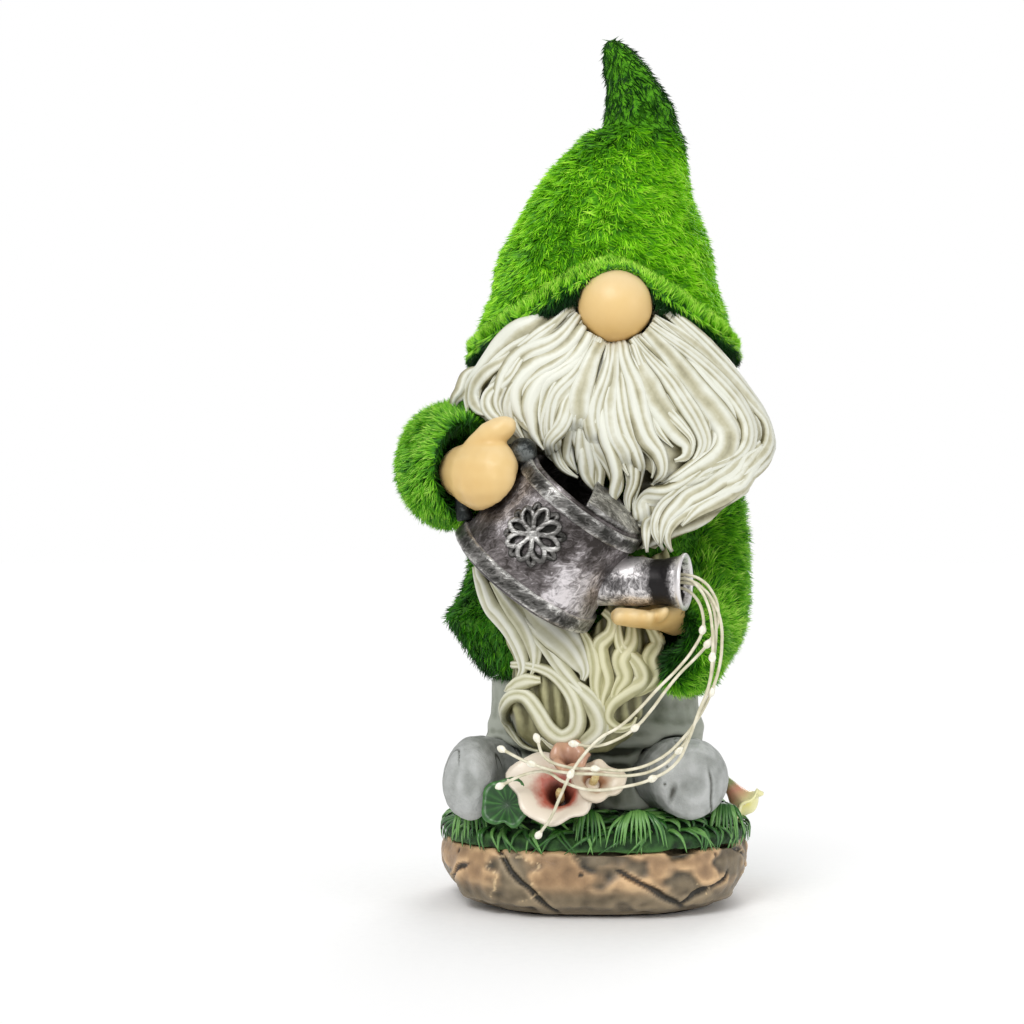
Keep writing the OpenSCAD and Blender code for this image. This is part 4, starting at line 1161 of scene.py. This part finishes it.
def petal(reach, half, lift, spin, shade):
    """Hollow petal: a raised rim round a dished leaf, lying on XY and pointing along an angle."""
    t = turns(36)
    along = reach[0] + (reach[1] - reach[0]) * (0.5 - 0.5 * np.cos(t))
    share = (along - reach[0]) / (reach[1] - reach[0])
    bulge = 0.55 + 1.1 * share - 0.75 * share ** 2
    across = half * np.sign(np.sin(t)) * np.abs(np.sin(t)) ** 1.15 * bulge
    line = np.stack([along, across, lift + 0.5 * np.sin(share * math.pi)], axis=1)
    ahead = unit(np.roll(line, -1, axis=0) - np.roll(line, 1, axis=0))
    side = unit(np.cross(ahead, UP))
    section = np.broadcast_to(turns(8), (len(t), 8))
    rings = swept(line, side, np.broadcast_to(UP, line.shape), 0.8 * np.cos(section), 0.6 * np.sin(section))
    # Painted light on the outer side of the rim, and painted shade on its inner side
    rim = stacked(rings, closed_loop=True, cavity=shade + 0.2 * np.sin(section))
    inner = np.array([along.mean(), 0.0, lift * 0.3])
    leaf_rings = [inner + (line - inner) * grow * [1, 1, 0] + [0, 0, height]
                  for grow, height in ((0.25, -0.35), (0.6, -0.2), (0.97, 0.1), (0.97, -1.6), (0.3, -1.9))]
    leaf = stacked(leaf_rings, cavity=np.repeat([0.05, 0.12, 0.3, 0.1, 0.1], len(t)))
    turn = np.array([[math.cos(spin), -math.sin(spin), 0], [math.sin(spin), math.cos(spin), 0], [0, 0, 1]])
    return joined([rim, leaf]).moved(turn, (0, 0, 0))


def rosette(axes, origin):
    """Flower of eight petals over eight short sepals, bent to the drum's curve."""
    parts = [petal((4.6, 8.6), 1.0, 0.2, math.radians(45 * i + 34), 0.22) for i in range(8)]
    parts += [petal((1.2, 7.9), 1.9, 1.3, math.radians(45 * i + 12), 0.36) for i in range(8)]
    button = revolved(along_profile([(1.5, -1), (1.5, 1.6), (1.2, 2.1), (0.6, 2.4), (0.2, 2.45)], 0.5), 24)
    button.tones["cavity"][:] = 0.6
    flower = joined([*parts, button])
    centre = (middle("can_rosette") - origin) @ axes
    around, height = math.atan2(centre[1], centre[0]), centre[2]
    out = unit([math.cos(around), math.sin(around), (CAN_D_FLOOR - CAN_D_RIM) / 2 / CAN_H])
    radius = can_r(height)
    flower.points[:, 2] -= flower.points[:, 0] ** 2 / (2 * radius)
    return flower.moved(facing(out), polar(radius, around, height)).moved(axes, origin)


def make_can():
    """Drum with its bands and rosette, its cover, its handle and its spout."""
    axes, origin = can_frame()
    drum_look = pewter("pewter_brushed", (54, 49, 47), (226, 220, 222), (2.5, 1.0, 1.4))
    bright_look = pewter("pewter_silver", (44, 43, 40), (232, 230, 226), (3.0, 1.0, 1.0), 0.36, 0.5)
    spout_look = pewter("pewter_spout", (36, 34, 34), (236, 232, 232), (1.0, 1.0, 1.6), 0.32, 0.5)
    dark_look = pewter("pewter_blackened", (24, 28, 28), (112, 116, 114), (1, 1, 1), 0.36, 0.5)
    outline = [(can_r(0) - 1.2, 0), (can_r(0), 0.8), (can_r(CAN_H), CAN_H - 0.3),
               (can_r(CAN_H) - 0.5, CAN_H + 0.25), (can_r(CAN_H) - 1.2, CAN_H),
               (can_r(2) - 1.7, 2.4), (can_r(2) - 3, 2)]
    drum = revolved(along_profile(outline, 0.8), 128, 0.32, 3)
    x, y, z = drum.points.T
    worn = 0.46 + 0.22 * lumps(drum.points, 8, 5) + 0.16 * ease(x, -8, 20) - 0.1 * ease(z, 12, 30)
    drum.tones["cavity"] = np.where(np.hypot(x, y) < can_r(z) - 1.0, 0.3, worn)
    cast("can_drum", drum.moved(axes, origin), drum_look)
    cast("can_band_rim", band_ring(RIM_BAND, 5).moved(axes, origin), bright_look)
    cast("can_band_floor", band_ring(FLOOR_BAND, 9).moved(axes, origin), bright_look)
    cast("can_rosette", rosette(axes, origin), bright_look)
    make_cover(axes, origin, bright_look)
    make_handle(axes, origin, dark_look)
    make_spout(spout_look)


def make_cover(axes, origin, look):
    """Half cover over the spout side of the mouth, slightly dented."""
    profile = along_profile([(0.3, 3.2), (9, 2.5), (14, 1.5), (18.6, 0.1), (18.6, 1.2), (14, 2.8),
                             (9, 3.9), (0.3, 4.7)], 1.0)
    radius, height = np.array(profile).T
    rings = [polar(radius, a, CAN_H + height) for a in np.radians(np.linspace(-90, 90, 60))]
    cover = stacked(rings, cavity=np.full((len(rings), len(profile)), 0.62))
    cover.points += UP * 0.35 * rough(cover.points, 5, 3, 21)[:, None]
    cast("can_cover", cover.moved(axes, origin), look)


def make_handle(axes, origin, look):
    """Bow behind the drum, and a ball knob with a groove round it."""
    keys = [[-CAN_D_RIM / 2 - 2.4, 0, CAN_H - 2.6], [-25, 0, CAN_H - 3], [-28.5, 0, CAN_H - 7],
            [-30, 0, CAN_H - 14], [-29.5, 0, CAN_H - 21], [-27.4, 0, 8.5], [-CAN_D_FLOOR / 2 - 0.8, 0, 5.5]]
    path = smooth(keys, 8)
    bow = tube(path, 2.3 + 0.15 * lumps(path, 5, 2), 2.0, 16, (0, 1, 0))
    knob = revolved([(KNOB_R * math.sin(a) * (1 - 0.12 * (abs(a - 1.57) < 0.22)), -KNOB_R * math.cos(a))
                     for a in np.linspace(0.08, math.pi - 0.08, 22)], 32, 0.12, 8)
    knob.moved(facing(unit([-0.3, -0.8, 0.4])), (-CAN_D_RIM / 2 - 3.4, -1, CAN_H - 1))
    bow.tones["cavity"] = np.full(len(bow.points), 0.5)
    knob.tones["cavity"] = 0.5 + 0.3 * lumps(knob.points, 4, 3)
    handle = joined([bow, knob]).moved(axes, origin)
    cast("can_handle", handle, look)


def make_spout(look):
    """Round spout with a dark waist and a bright rolled mouth."""
    low, high = corners("can_spout")
    along = np.array([math.cos(SPOUT_YAW), -math.sin(SPOUT_YAW), 0])
    mouth = np.array([high[0] - MOUTH_D / 2 * math.sin(SPOUT_YAW),
                      low[1] + MOUTH_D / 2 * math.cos(SPOUT_YAW), (low[2] + high[2]) / 2])
    side = np.cross(UP, along)
    outline = [(SPOUT_D / 2, 0), (SPOUT_D / 2, 11), (SPOUT_D / 2 - 0.1, 15), (SPOUT_D / 2 - 0.6, 18.5),
               (SPOUT_D / 2 - 0.5, 21.5), (SPOUT_D / 2 + 0.1, 24), (MOUTH_D / 2 - 0.5, SPOUT_L - 1.4),
               (MOUTH_D / 2, SPOUT_L - 0.9), (MOUTH_D / 2, SPOUT_L - 0.3), (MOUTH_D / 2 - 0.6, SPOUT_L),
               (MOUTH_D / 2 - 1.3, SPOUT_L - 0.4), (5.9, SPOUT_L - 3), (5.8, 4), (5.6, 3.4)]
    spout = revolved(along_profile(outline, 0.7), 72, 0.16, 14)
    reach = np.hypot(spout.points[:, 0], spout.points[:, 1])
    height = spout.points[:, 2]
    lip = ease(height, SPOUT_L - 2, SPOUT_L - 0.6) * ease(reach, 6.6, 7.6)
    waist = ease(height, 17.5, 20.5) * ease(-height, -26, -22.5)
    tone = 0.74 + 0.3 * lip - 0.56 * waist + 0.26 * lumps(spout.points, 6, 4)
    spout.tones["cavity"] = np.where((reach < 6.2) & (height > 2), 0.05, tone)
    spout.moved(np.stack([np.cross(side, along), side, along], axis=1), mouth - along * SPOUT_L)
    cast("can_spout", spout, look)


make_can()


# ---- Legs ----

CUFF_Z = 42   # height that the trousers' folds are measured from


def make_legs():
    """Trousers with folds above the boots, and boots like pitted stone."""
    cloth = painted("trouser_paint", (54, 58, 44), (122, 127, 112), (160, 164, 152), 0.6, 0.8, 0.1)
    stone = painted("boot_paint", (80, 80, 74), (146, 149, 145), (182, 184, 182), 0.6, 0.9, 0.4)
    for side in ("right", "left"):
        leg = Skin(cad_shape("trouser_" + side), 0.7, 10)
        height = leg.points[:, 2] - CUFF_Z
        folds = 0.7 * np.sin(height * 1.15 + 1.2 * lumps(leg.points, 12, 4))
        folds *= ease(-height, -16, -2) * ease(height, -3, 2)
        between = 1.6 * ease(-np.abs(leg.points[:, 0]), -6, -2)
        leg.push(folds + between + 0.25 * rough(leg.points, 6, 2, 9))
        # Painted shade in the folds and on the lower part of the leg
        leg.tone("cavity", np.clip(leg.cavity(24, 0.35) * 0.8 + 0.2 * ease(height, -4, 12), 0, 1))
        cast("trouser_" + side, leg, cloth)
        boot = Skin(cad_shape("boot_" + side), 0.5, 8)
        pits = np.clip(1 - spots(boot.points, 8.0, 3) / 0.7, 0, 1)
        steep = lumps(boot.points * [1, 1, 0.45], 9, 12)
        seam = np.clip(1 - np.abs(steep) / 0.06, 0, 1) * ease(lumps(boot.points, 12, 6), 0, 0.3)
        boot.push(0.45 * rough(boot.points * [1, 1, 0.5], 9, 3, 5) - 0.4 * pits - 0.25 * seam)
        # Painted shade in the hollows; the pits and the seam are darker as well
        cavity = np.clip(0.5 + 0.7 * (boot.cavity(18, 0.22) - 0.5) - 0.25 * pits - 0.2 * seam, 0, 1)
        boot.tone("cavity", cavity)
        cast("boot_" + side, boot, stone)


make_legs()


# ---- Base ----

# Cracks in the rock: angle round the base in degrees, height, slope across and half length
CRACKS = [(-121, 11, -1.1, 11), (-68, 9, -0.55, 13), (-46, 8, 0.5, 10), (-10, 10, -0.7, 16),
          (35, 9, 0.6, 14), (80, 12, -0.8, 14), (125, 9, 0.5, 15), (165, 11, -0.7, 14), (-158, 9, 0.6, 12)]


def make_rock():
    """Stone with raised worn patches, thin light outlines round them and a few diagonal cracks."""
    rock = Skin(cad_shape("rock_base"), 0.7, 3)
    points = rock.points
    angle = np.degrees(np.arctan2(points[:, 1], points[:, 0]))
    wave = 1.3 * lumps(points, 6, 3)
    crack = np.zeros(len(points))
    for centre, height, slope, reach in CRACKS:
        arc = ((angle - centre + 180) % 360 - 180) * 0.75
        off = np.abs(points[:, 2] - height - slope * arc + wave) / math.sqrt(1 + slope * slope)
        inside = ease(-np.abs(arc), -reach, -reach * 0.6)
        crack = np.maximum(crack, inside * np.clip(1 - off / (0.5 + 0.7 * inside), 0, 1))
    steep = points * [1, 1, 1.5]
    patch = lumps(steep, 13, 31) + 0.5 * lumps(steep, 6, 33) + 0.16 * lumps(steep, 2.5, 35)
    raised = ease(patch + 0.3 * lumps(steep, 4, 39), -0.3, 0.35)
    outline = np.clip(1 - np.abs(patch - 0.02) / 0.03, 0, 1) * ease(lumps(points, 10, 37), -0.1, 0.2)
    pits = np.clip(1 - spots(points, 9, 8) / 0.9, 0, 1)
    side = ease(np.hypot(points[:, 0] / 47.3, points[:, 1] / 40), 0.8, 0.95)
    rock.push(side * (0.9 * raised + 0.7 * rough(points, 9, 3, 11) + 0.25 * outline - 1.5 * crack
                      - 0.7 * pits - 0.9))
    # Painted shade in the hollows, cracks and pits
    rock.tone("cavity", np.clip(rock.cavity(14, 0.4) - 0.5 * crack - 0.3 * pits, 0, 1))
    rock.tone("vein", outline * side)
    rock.tone("raised", raised * ease(rock.points[:, 2], 6, 12))
    look = Finish("rock_paint", roughness=0.42, specular=0.45)
    value = look.mottled("cavity", 7, 5, 0.5)
    bronze = look.ramp(value, (0.12, (58, 46, 32)), (0.42, (136, 108, 78)), (0.64, (166, 134, 98)),
                       (0.92, (214, 178, 134)))
    olive = look.ramp(value, (0.12, (42, 38, 28)), (0.45, (104, 92, 72)), (0.88, (146, 130, 104)))
    body = look.mix(look.tone("raised"), olive, bronze)
    body = look.mix(look.math("MULTIPLY", look.tone("vein"), 0.7), body, colour(238, 210, 164))
    piece_of("rock_cast", rock, look.done(body, look.noise(0.9, 4), 0.2), ["rock_base"])


def moulded_blade(path, width, over, phase):
    """Grass blade with a keel along it."""
    share = np.linspace(0, 1, len(path))
    taper = np.clip(np.minimum(0.5 + 1.5 * share, 1) * (1.05 - share ** 2.2), 0.1, 1) * width
    across, rise = np.cos(turns(8)), np.sin(turns(8))
    _, side, top = path_frames(path, over)
    keel = np.where(rise > 0.9, 0.55, np.where(rise > 0, 0.75, 0.5))
    rings = swept(path, side, top, taper[:, None] * across, taper[:, None] * (rise * keel))
    # Painted light along the blade's top, painted shade on its underside
    tone = np.where(rise > 0, 0.45 + 0.5 * rise, 0.1) + 0.2 * math.sin(phase)
    return stacked(rings, cavity=np.broadcast_to(np.clip(tone, 0, 1), rings.shape[:2]))


def mound_edge(angle, grow):
    """Place on the outline of the grass, grown by a share."""
    low, high = corners("grass_mound")
    half = (high - low)[:2] / 2 * grow
    power = 2 / 2.6
    return np.array([math.copysign(abs(math.cos(angle)) ** power, math.cos(angle)) * half[0],
                     math.copysign(abs(math.sin(angle)) ** power, math.sin(angle)) * half[1]])


# Rows of blades round the mound, from its edge inwards: count, where they start and how far they droop
BLADE_ROWS = [(110, 0.98, 7.0), (90, 0.9, 4.5), (80, 0.8, 2.5), (70, 0.68, 0.8), (60, 0.55, 0.0)]
# The fan of blades in front and the tufts beside the boots: x, y, half angle, length and count
FANS = [(11, -39, 1.15, 10.5, 16), (-38, -27, 0.9, 7, 10), (38, -25, 0.9, 7.5, 11), (-3, -37, 0.9, 6.5, 8)]


def blades_in_rows(rng, top):
    """Blades that lie outwards over the mound and hang over its edge."""
    blades = []
    for row, (count, start, drop) in enumerate(BLADE_ROWS):
        height = top - 1.6 + min(row, 2) * 0.5 - 2 * (row == 0)
        reach = 0.145 if row == 0 else 0.12
        for i in range(count):
            a = 2 * math.pi * (i + rng.uniform(-0.4, 0.4)) / count
            swing = rng.uniform(-0.22, 0.22) + 0.12 * math.sin(5 * a)
            keys = []
            for t in (0, 0.3, 0.6, 1.0):
                x, y = mound_edge(a + swing * t, start - 0.1 + reach * min(t * 1.6, 1))
                bow = 1.7 * math.sin(min(t * 2.2, 1.6)) - drop * max(t - 0.25, 0) ** 1.3 / 0.7
                keys.append([x, y, height + bow])
            out = unit([math.cos(a), math.sin(a), 0.9])
            blades.append(moulded_blade(smooth(keys, 3), rng.uniform(0.7, 1.15), out, rng.uniform(0, 6)))
    return blades


def blades_in_fans(rng, top):
    """Blades that spread from one point and hang over the stone in front."""
    blades = []
    for x, y, spread, size, count in FANS:
        for lean in np.linspace(-spread, spread, count):
            long = size * rng.uniform(0.8, 1.1)
            aside, ahead = math.sin(lean), math.cos(lean)
            keys = [[x, y + 4, top - 2], [x + long * 0.35 * aside, y + 1.5, top + 1 + 2.4 * ahead],
                    [x + long * 0.8 * aside, y - 1.5, top - 1 + 1.5 * ahead],
                    [x + long * aside, y - 3.2, top - 4.5 - rng.uniform(0, 2)]]
            blades.append(moulded_blade(smooth(keys, 4), rng.uniform(0.7, 1.0), unit([0, -1, 0.6]),
                                        rng.uniform(0, 6)))
    return blades


def make_grass():
    rng = np.random.default_rng(3)
    look = Finish("grass_paint", roughness=0.34, coat=0.15)
    base = look.ramp(look.mottled("cavity", 5, 3, 0.5), (0.1, (5, 22, 6)), (0.45, (22, 68, 18)),
                     (0.75, (44, 100, 30)), (1.0, (104, 154, 76)))
    paint = look.done(base, look.noise(1.0, 2), 0.06)
    mound = Skin(cad_shape("grass_mound"), 0.8, 3)
    mound.push(0.5 * rough(mound.points, 4, 3, 2) - 0.3)
    # Painted shade in the hollows of the mound
    mound.tone("cavity", np.clip(mound.cavity(16, 0.4) * 0.7, 0, 1))
    moss = painted("moss_paint", (6, 24, 6), (26, 66, 20), (60, 106, 44), 0.7, 0.7, 0.3)
    cast("grass_mound", mound, moss)
    top = corners("grass_mound")[1][2]
    blades = [*blades_in_rows(rng, top), *blades_in_fans(rng, top)]
    piece_of("grass_blades", joined(blades), paint, ["grass_tufts"])


def make_leaf():
    """Round leaf with a notched edge and veins."""
    look = Finish("leaf_paint", roughness=0.42, coat=0.12)
    base = look.ramp(look.mottled("cavity", 3, 3, 0.4), (0.1, (6, 30, 8)), (0.5, (24, 72, 22)),
                     (0.9, (62, 116, 50)))
    angle = turns(48)
    rings, tones = [], []
    # Rings of the leaf as (radius, height), from the middle of its front over the edge to its back
    outline = [(0.4, 1.3), (2, 1.5), (4, 2.1), (6, 3.0), (7.3, 3.3), (7.6, 2.9), (7.1, 2.3), (4, 0.9),
               (0.4, 0.2)]
    for index, (r, z) in enumerate(outline):
        notch = np.exp(-((angle - 4.7) / 0.25) ** 2)
        ripple = 1 + 0.06 * np.cos(5 * angle) * r / 7 - 0.22 * notch * r / 7
        vein = 0.3 * np.cos(angle * 7) ** 8 * (r > 1) * (index < 5)
        rings.append(polar(r * ripple, angle, z + vein))
        tones.append(np.clip(0.42 + vein * 1.6 + 0.3 * (index in (4, 5)), 0, 1) if index < 6
                     else np.full(len(angle), 0.15))
    leaf = stacked(rings[::-1], cavity=tones[::-1])
    out = unit([-0.19, -0.91, 0.37])
    leaf.moved(facing(out), middle("round_leaf") - out * 1.2)
    piece_of("leaf_cast", leaf, look.done(base, look.noise(0.8, 2), 0.05), ["round_leaf"])


def calla(r, depth, open_side, tip):
    """Calla flower along +Z: a shell that flares to a rolled lip, longer and pointed on one side."""
    around = 48
    angle = turns(around)
    toward = np.cos(angle - open_side)
    profile = [(0.0, 0.24), (0.15, 0.3), (0.35, 0.4), (0.55, 0.55), (0.75, 0.8), (0.9, 1.0), (1.0, 1.16),
               (1.03, 1.24)]
    outer, inner, tone = [], [], []
    for v, share in profile:
        reach = r * share * (1 + 0.1 * toward * v + tip * np.maximum(toward, 0) ** 10 * v ** 3)
        ripple = 1 + 0.05 * np.sin(3 * angle + 1) * v + 0.045 * np.sin(7 * angle) * v ** 3
        roll = 1.4 * max(v - 0.86, 0) / 0.17
        height = depth * v * (1 - 0.12 * (1 - toward) * v) - roll + 0.7 * np.sin(5 * angle + 2) * v ** 3
        outer.append(polar(reach * ripple, angle, height))
        thick = 0.55 + 0.5 * (1 - v)
        narrower = np.maximum(1 - thick / np.maximum(reach, 0.1), 0.2)
        inner.append(polar(reach * ripple * narrower, angle, height + 0.7))
        tone.append(np.full(around, v))
    return stacked(outer + inner[::-1], depth=tone + tone[::-1],
                   inside=np.repeat([0, 1], around * len(profile)))


def spadix(base, along, length, d):
    """Knobbly spike in the throat of a calla."""
    rows = along_profile([(d * 0.3, 0), (d / 2, length * 0.25), (d / 2, length * 0.75),
                          (d * 0.34, length * 0.94), (d * 0.1, length)], 0.4)
    spike = revolved(rows, 24)
    x, y, z = spike.points.T
    knobs = 0.12 * np.sin(z * 9) * np.sin(6 * np.arctan2(y, x))
    spike.points += unit(spike.points * [1, 1, 0]) * knobs[:, None]
    return spike.moved(facing(along), base)


def petal_paint(name, throat, blush, lip, outside):
    """Petal that deepens from its lip into its throat: the flower's own blush, and painted shade deep in
    the throat.
    """
    look = Finish(name, roughness=0.35, coat=0.2)
    value = look.mottled("depth", 5, 3, 0.45)
    inner = look.ramp(value, (0.32, throat), (0.58, blush), (0.82, lip))
    outer = look.ramp(value, (0.1, (136, 146, 92)), (0.4, outside), (1.0, lip))
    return look.done(look.mix(look.tone("inside"), outer, inner), look.noise(1.2, 3), 0.06)


# Flowers: node, mouth radius, depth, angle of the long side in degrees, how far its point reaches,
# facing, slot, and the length and diameter of the spadix, or 0 where there is none
FLOWERS = [
    ("lily_large", 9.6, 11.5, 165, 0.22, (-0.105, -0.747, 0.656), "petal_pink", 6.5, 2.4),
    ("lily_small", 5.6, 9.0, 350, 0.25, (0.245, -0.75, 0.616), "petal_white", 8.0, 2.2),
    ("lily_bud", 4.6, 8.0, 90, 0.1, (-0.035, -0.5, 0.866), "petal_brown", 0, 0),
    ("side_lily", 6.0, 13.5, 300, 0.35, (0.611, -0.199, -0.766), "petal_yellow", 8.0, 2.0),
]


# Shades of each flower: throat, where a dark colour is partly painted shade, blush, lip and outside
PETAL_SHADES = {
    "petal_pink": ((76, 34, 24), (194, 106, 88), (232, 220, 202), (228, 220, 200)),
    "petal_white": ((112, 72, 50), (172, 128, 98), (226, 212, 190), (222, 212, 190)),
    "petal_brown": ((110, 74, 56), (166, 122, 98), (196, 152, 124), (186, 140, 112)),
    "petal_yellow": ((206, 176, 40), (232, 222, 90), (240, 236, 176), (218, 150, 124)),
}


def make_flowers():
    spike_paint = two_tone("spadix_paint", (198, 170, 104), (236, 222, 170), (1.4, 3), (0.7, 2), 0.12,
                           roughness=0.5)
    for node, r, depth, side_angle, tip, way, slot, length, d in FLOWERS:
        along = unit(way)
        base = middle(node + "_spadix") - along * 5.5 if length else middle(node) - along * 4.0
        flower = calla(r, depth, math.radians(side_angle), tip).moved(facing(along), base)
        paint = petal_paint(slot + "_paint", *PETAL_SHADES[slot])
        piece_of(node + "_petals", flower, paint, [node])
        if length:
            spike = spadix(base + along * 2.2, along, length, d)
            piece_of(node + "_spike", spike, spike_paint, [node + "_spadix"])


make_rock()
make_grass()
make_leaf()
make_flowers()


# ---- Parts that keep their CAD shape ----

def plastic(name, dark, light, grain=0.5):
    """Moulded plastic with a spark-eroded grain."""
    look = Finish(name, roughness=0.45, specular=0.4)
    base = look.ramp(look.noise(6, 3), (0.3, dark), (0.7, light))
    worn = look.ramp(look.noise(11, 3), (0.3, 0.38), (0.7, 0.56))
    return look.done(base, look.noise(grain, 2), 0.05, worn)


def solar_cells():
    """Blue silicon cells with silver fingers and bus bars, under a clear cover."""
    look = Finish("solar_cells", roughness=0.16, specular=0.6, coat=0.8)
    place = look.add("SeparateXYZ", {"Vector": look.place})
    grains = look.ramp(look.cells(3.5), (0.0, (10, 16, 46)), (0.6, (24, 36, 92)))

    def lines(axis, pitch, width):
        wave = look.math("PINGPONG", place.outputs[axis], pitch / 2 * MM)
        return look.math("LESS_THAN", wave, width / 2 * MM)

    fingers = look.math("MULTIPLY", lines(2, 1.6, 0.14), 0.5)
    bars = look.math("MAXIMUM", lines(0, 12.5, 0.9), fingers)
    return look.done(look.mix(bars, grains, colour(176, 180, 186)))


def felt():
    """Dark felt of pressed fibres."""
    return two_tone("felt_pad", (26, 26, 26), (58, 56, 54), (0.9, 4), (0.4, 3), 0.3, roughness=0.95,
                    specular=0.1)


def bare_metal(name, dark, light):
    """Plated metal with fine marks along X."""
    return two_tone(name, dark, light, (2.5, 4, 0.6, (3, 1, 1)), (0.8, 2), 0.03, metallic=0.95,
                    roughness=0.3)


def circuit():
    """Green board with lighter tracks."""
    look = Finish("circuit_board", roughness=0.3, coat=0.3)
    tracks = look.math("LESS_THAN", look.cells(2.4, "DISTANCE_TO_EDGE"), 0.06)
    base = look.ramp(look.noise(5, 2), (0.3, (14, 74, 34)), (0.7, (24, 102, 50)))
    return look.done(look.mix(tracks, base, colour(52, 134, 72)), tracks, 0.05)


CELL_END_X = 0.0155   # metres: where the battery's sleeve turns silver


def cell_wrap():
    """Plain sleeve of a battery cell, green with a silver end."""
    look = Finish("cell_wrap", roughness=0.25, coat=0.4)
    x = look.add("SeparateXYZ", {"Vector": look.place}).outputs[0]
    end = look.math("GREATER_THAN", x, CELL_END_X)
    sleeve = look.ramp(look.noise(9, 2), (0.3, (24, 112, 74)), (0.7, (36, 138, 92)))
    return look.done(look.mix(end, sleeve, colour(182, 184, 186)), look.noise(1.2, 2), 0.02)


def make_module():
    """Gives the CAD nodes that keep their shape better materials."""
    black = plastic("black_plastic", (16, 16, 17), (34, 34, 36))
    looks = {
        "solar_housing": black,
        "housing_back": black,
        "battery_door": black,
        "power_switch": plastic("switch_plastic", (22, 22, 24), (46, 46, 50)),
        "switch_button": plastic("button_plastic", (150, 24, 20), (190, 42, 34)),
        "solar_panel": solar_cells(),
        "circuit_board": circuit(),
        "battery": cell_wrap(),
        "battery_contacts": bare_metal("contact_nickel", (140, 138, 132), (206, 204, 198)),
        "door_screws": bare_metal("screw_zinc", (128, 130, 134), (204, 206, 210)),
        "base_pad": felt(),
        "pour_plug": plastic("plug_rubber", (14, 14, 14), (32, 31, 30), 0.8),
        "light_lead": plastic("lead_jacket", (18, 18, 18), (36, 36, 36), 0.9),
    }
    for node, finish in looks.items():
        give_finish(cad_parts[node].data, finish)


make_module()
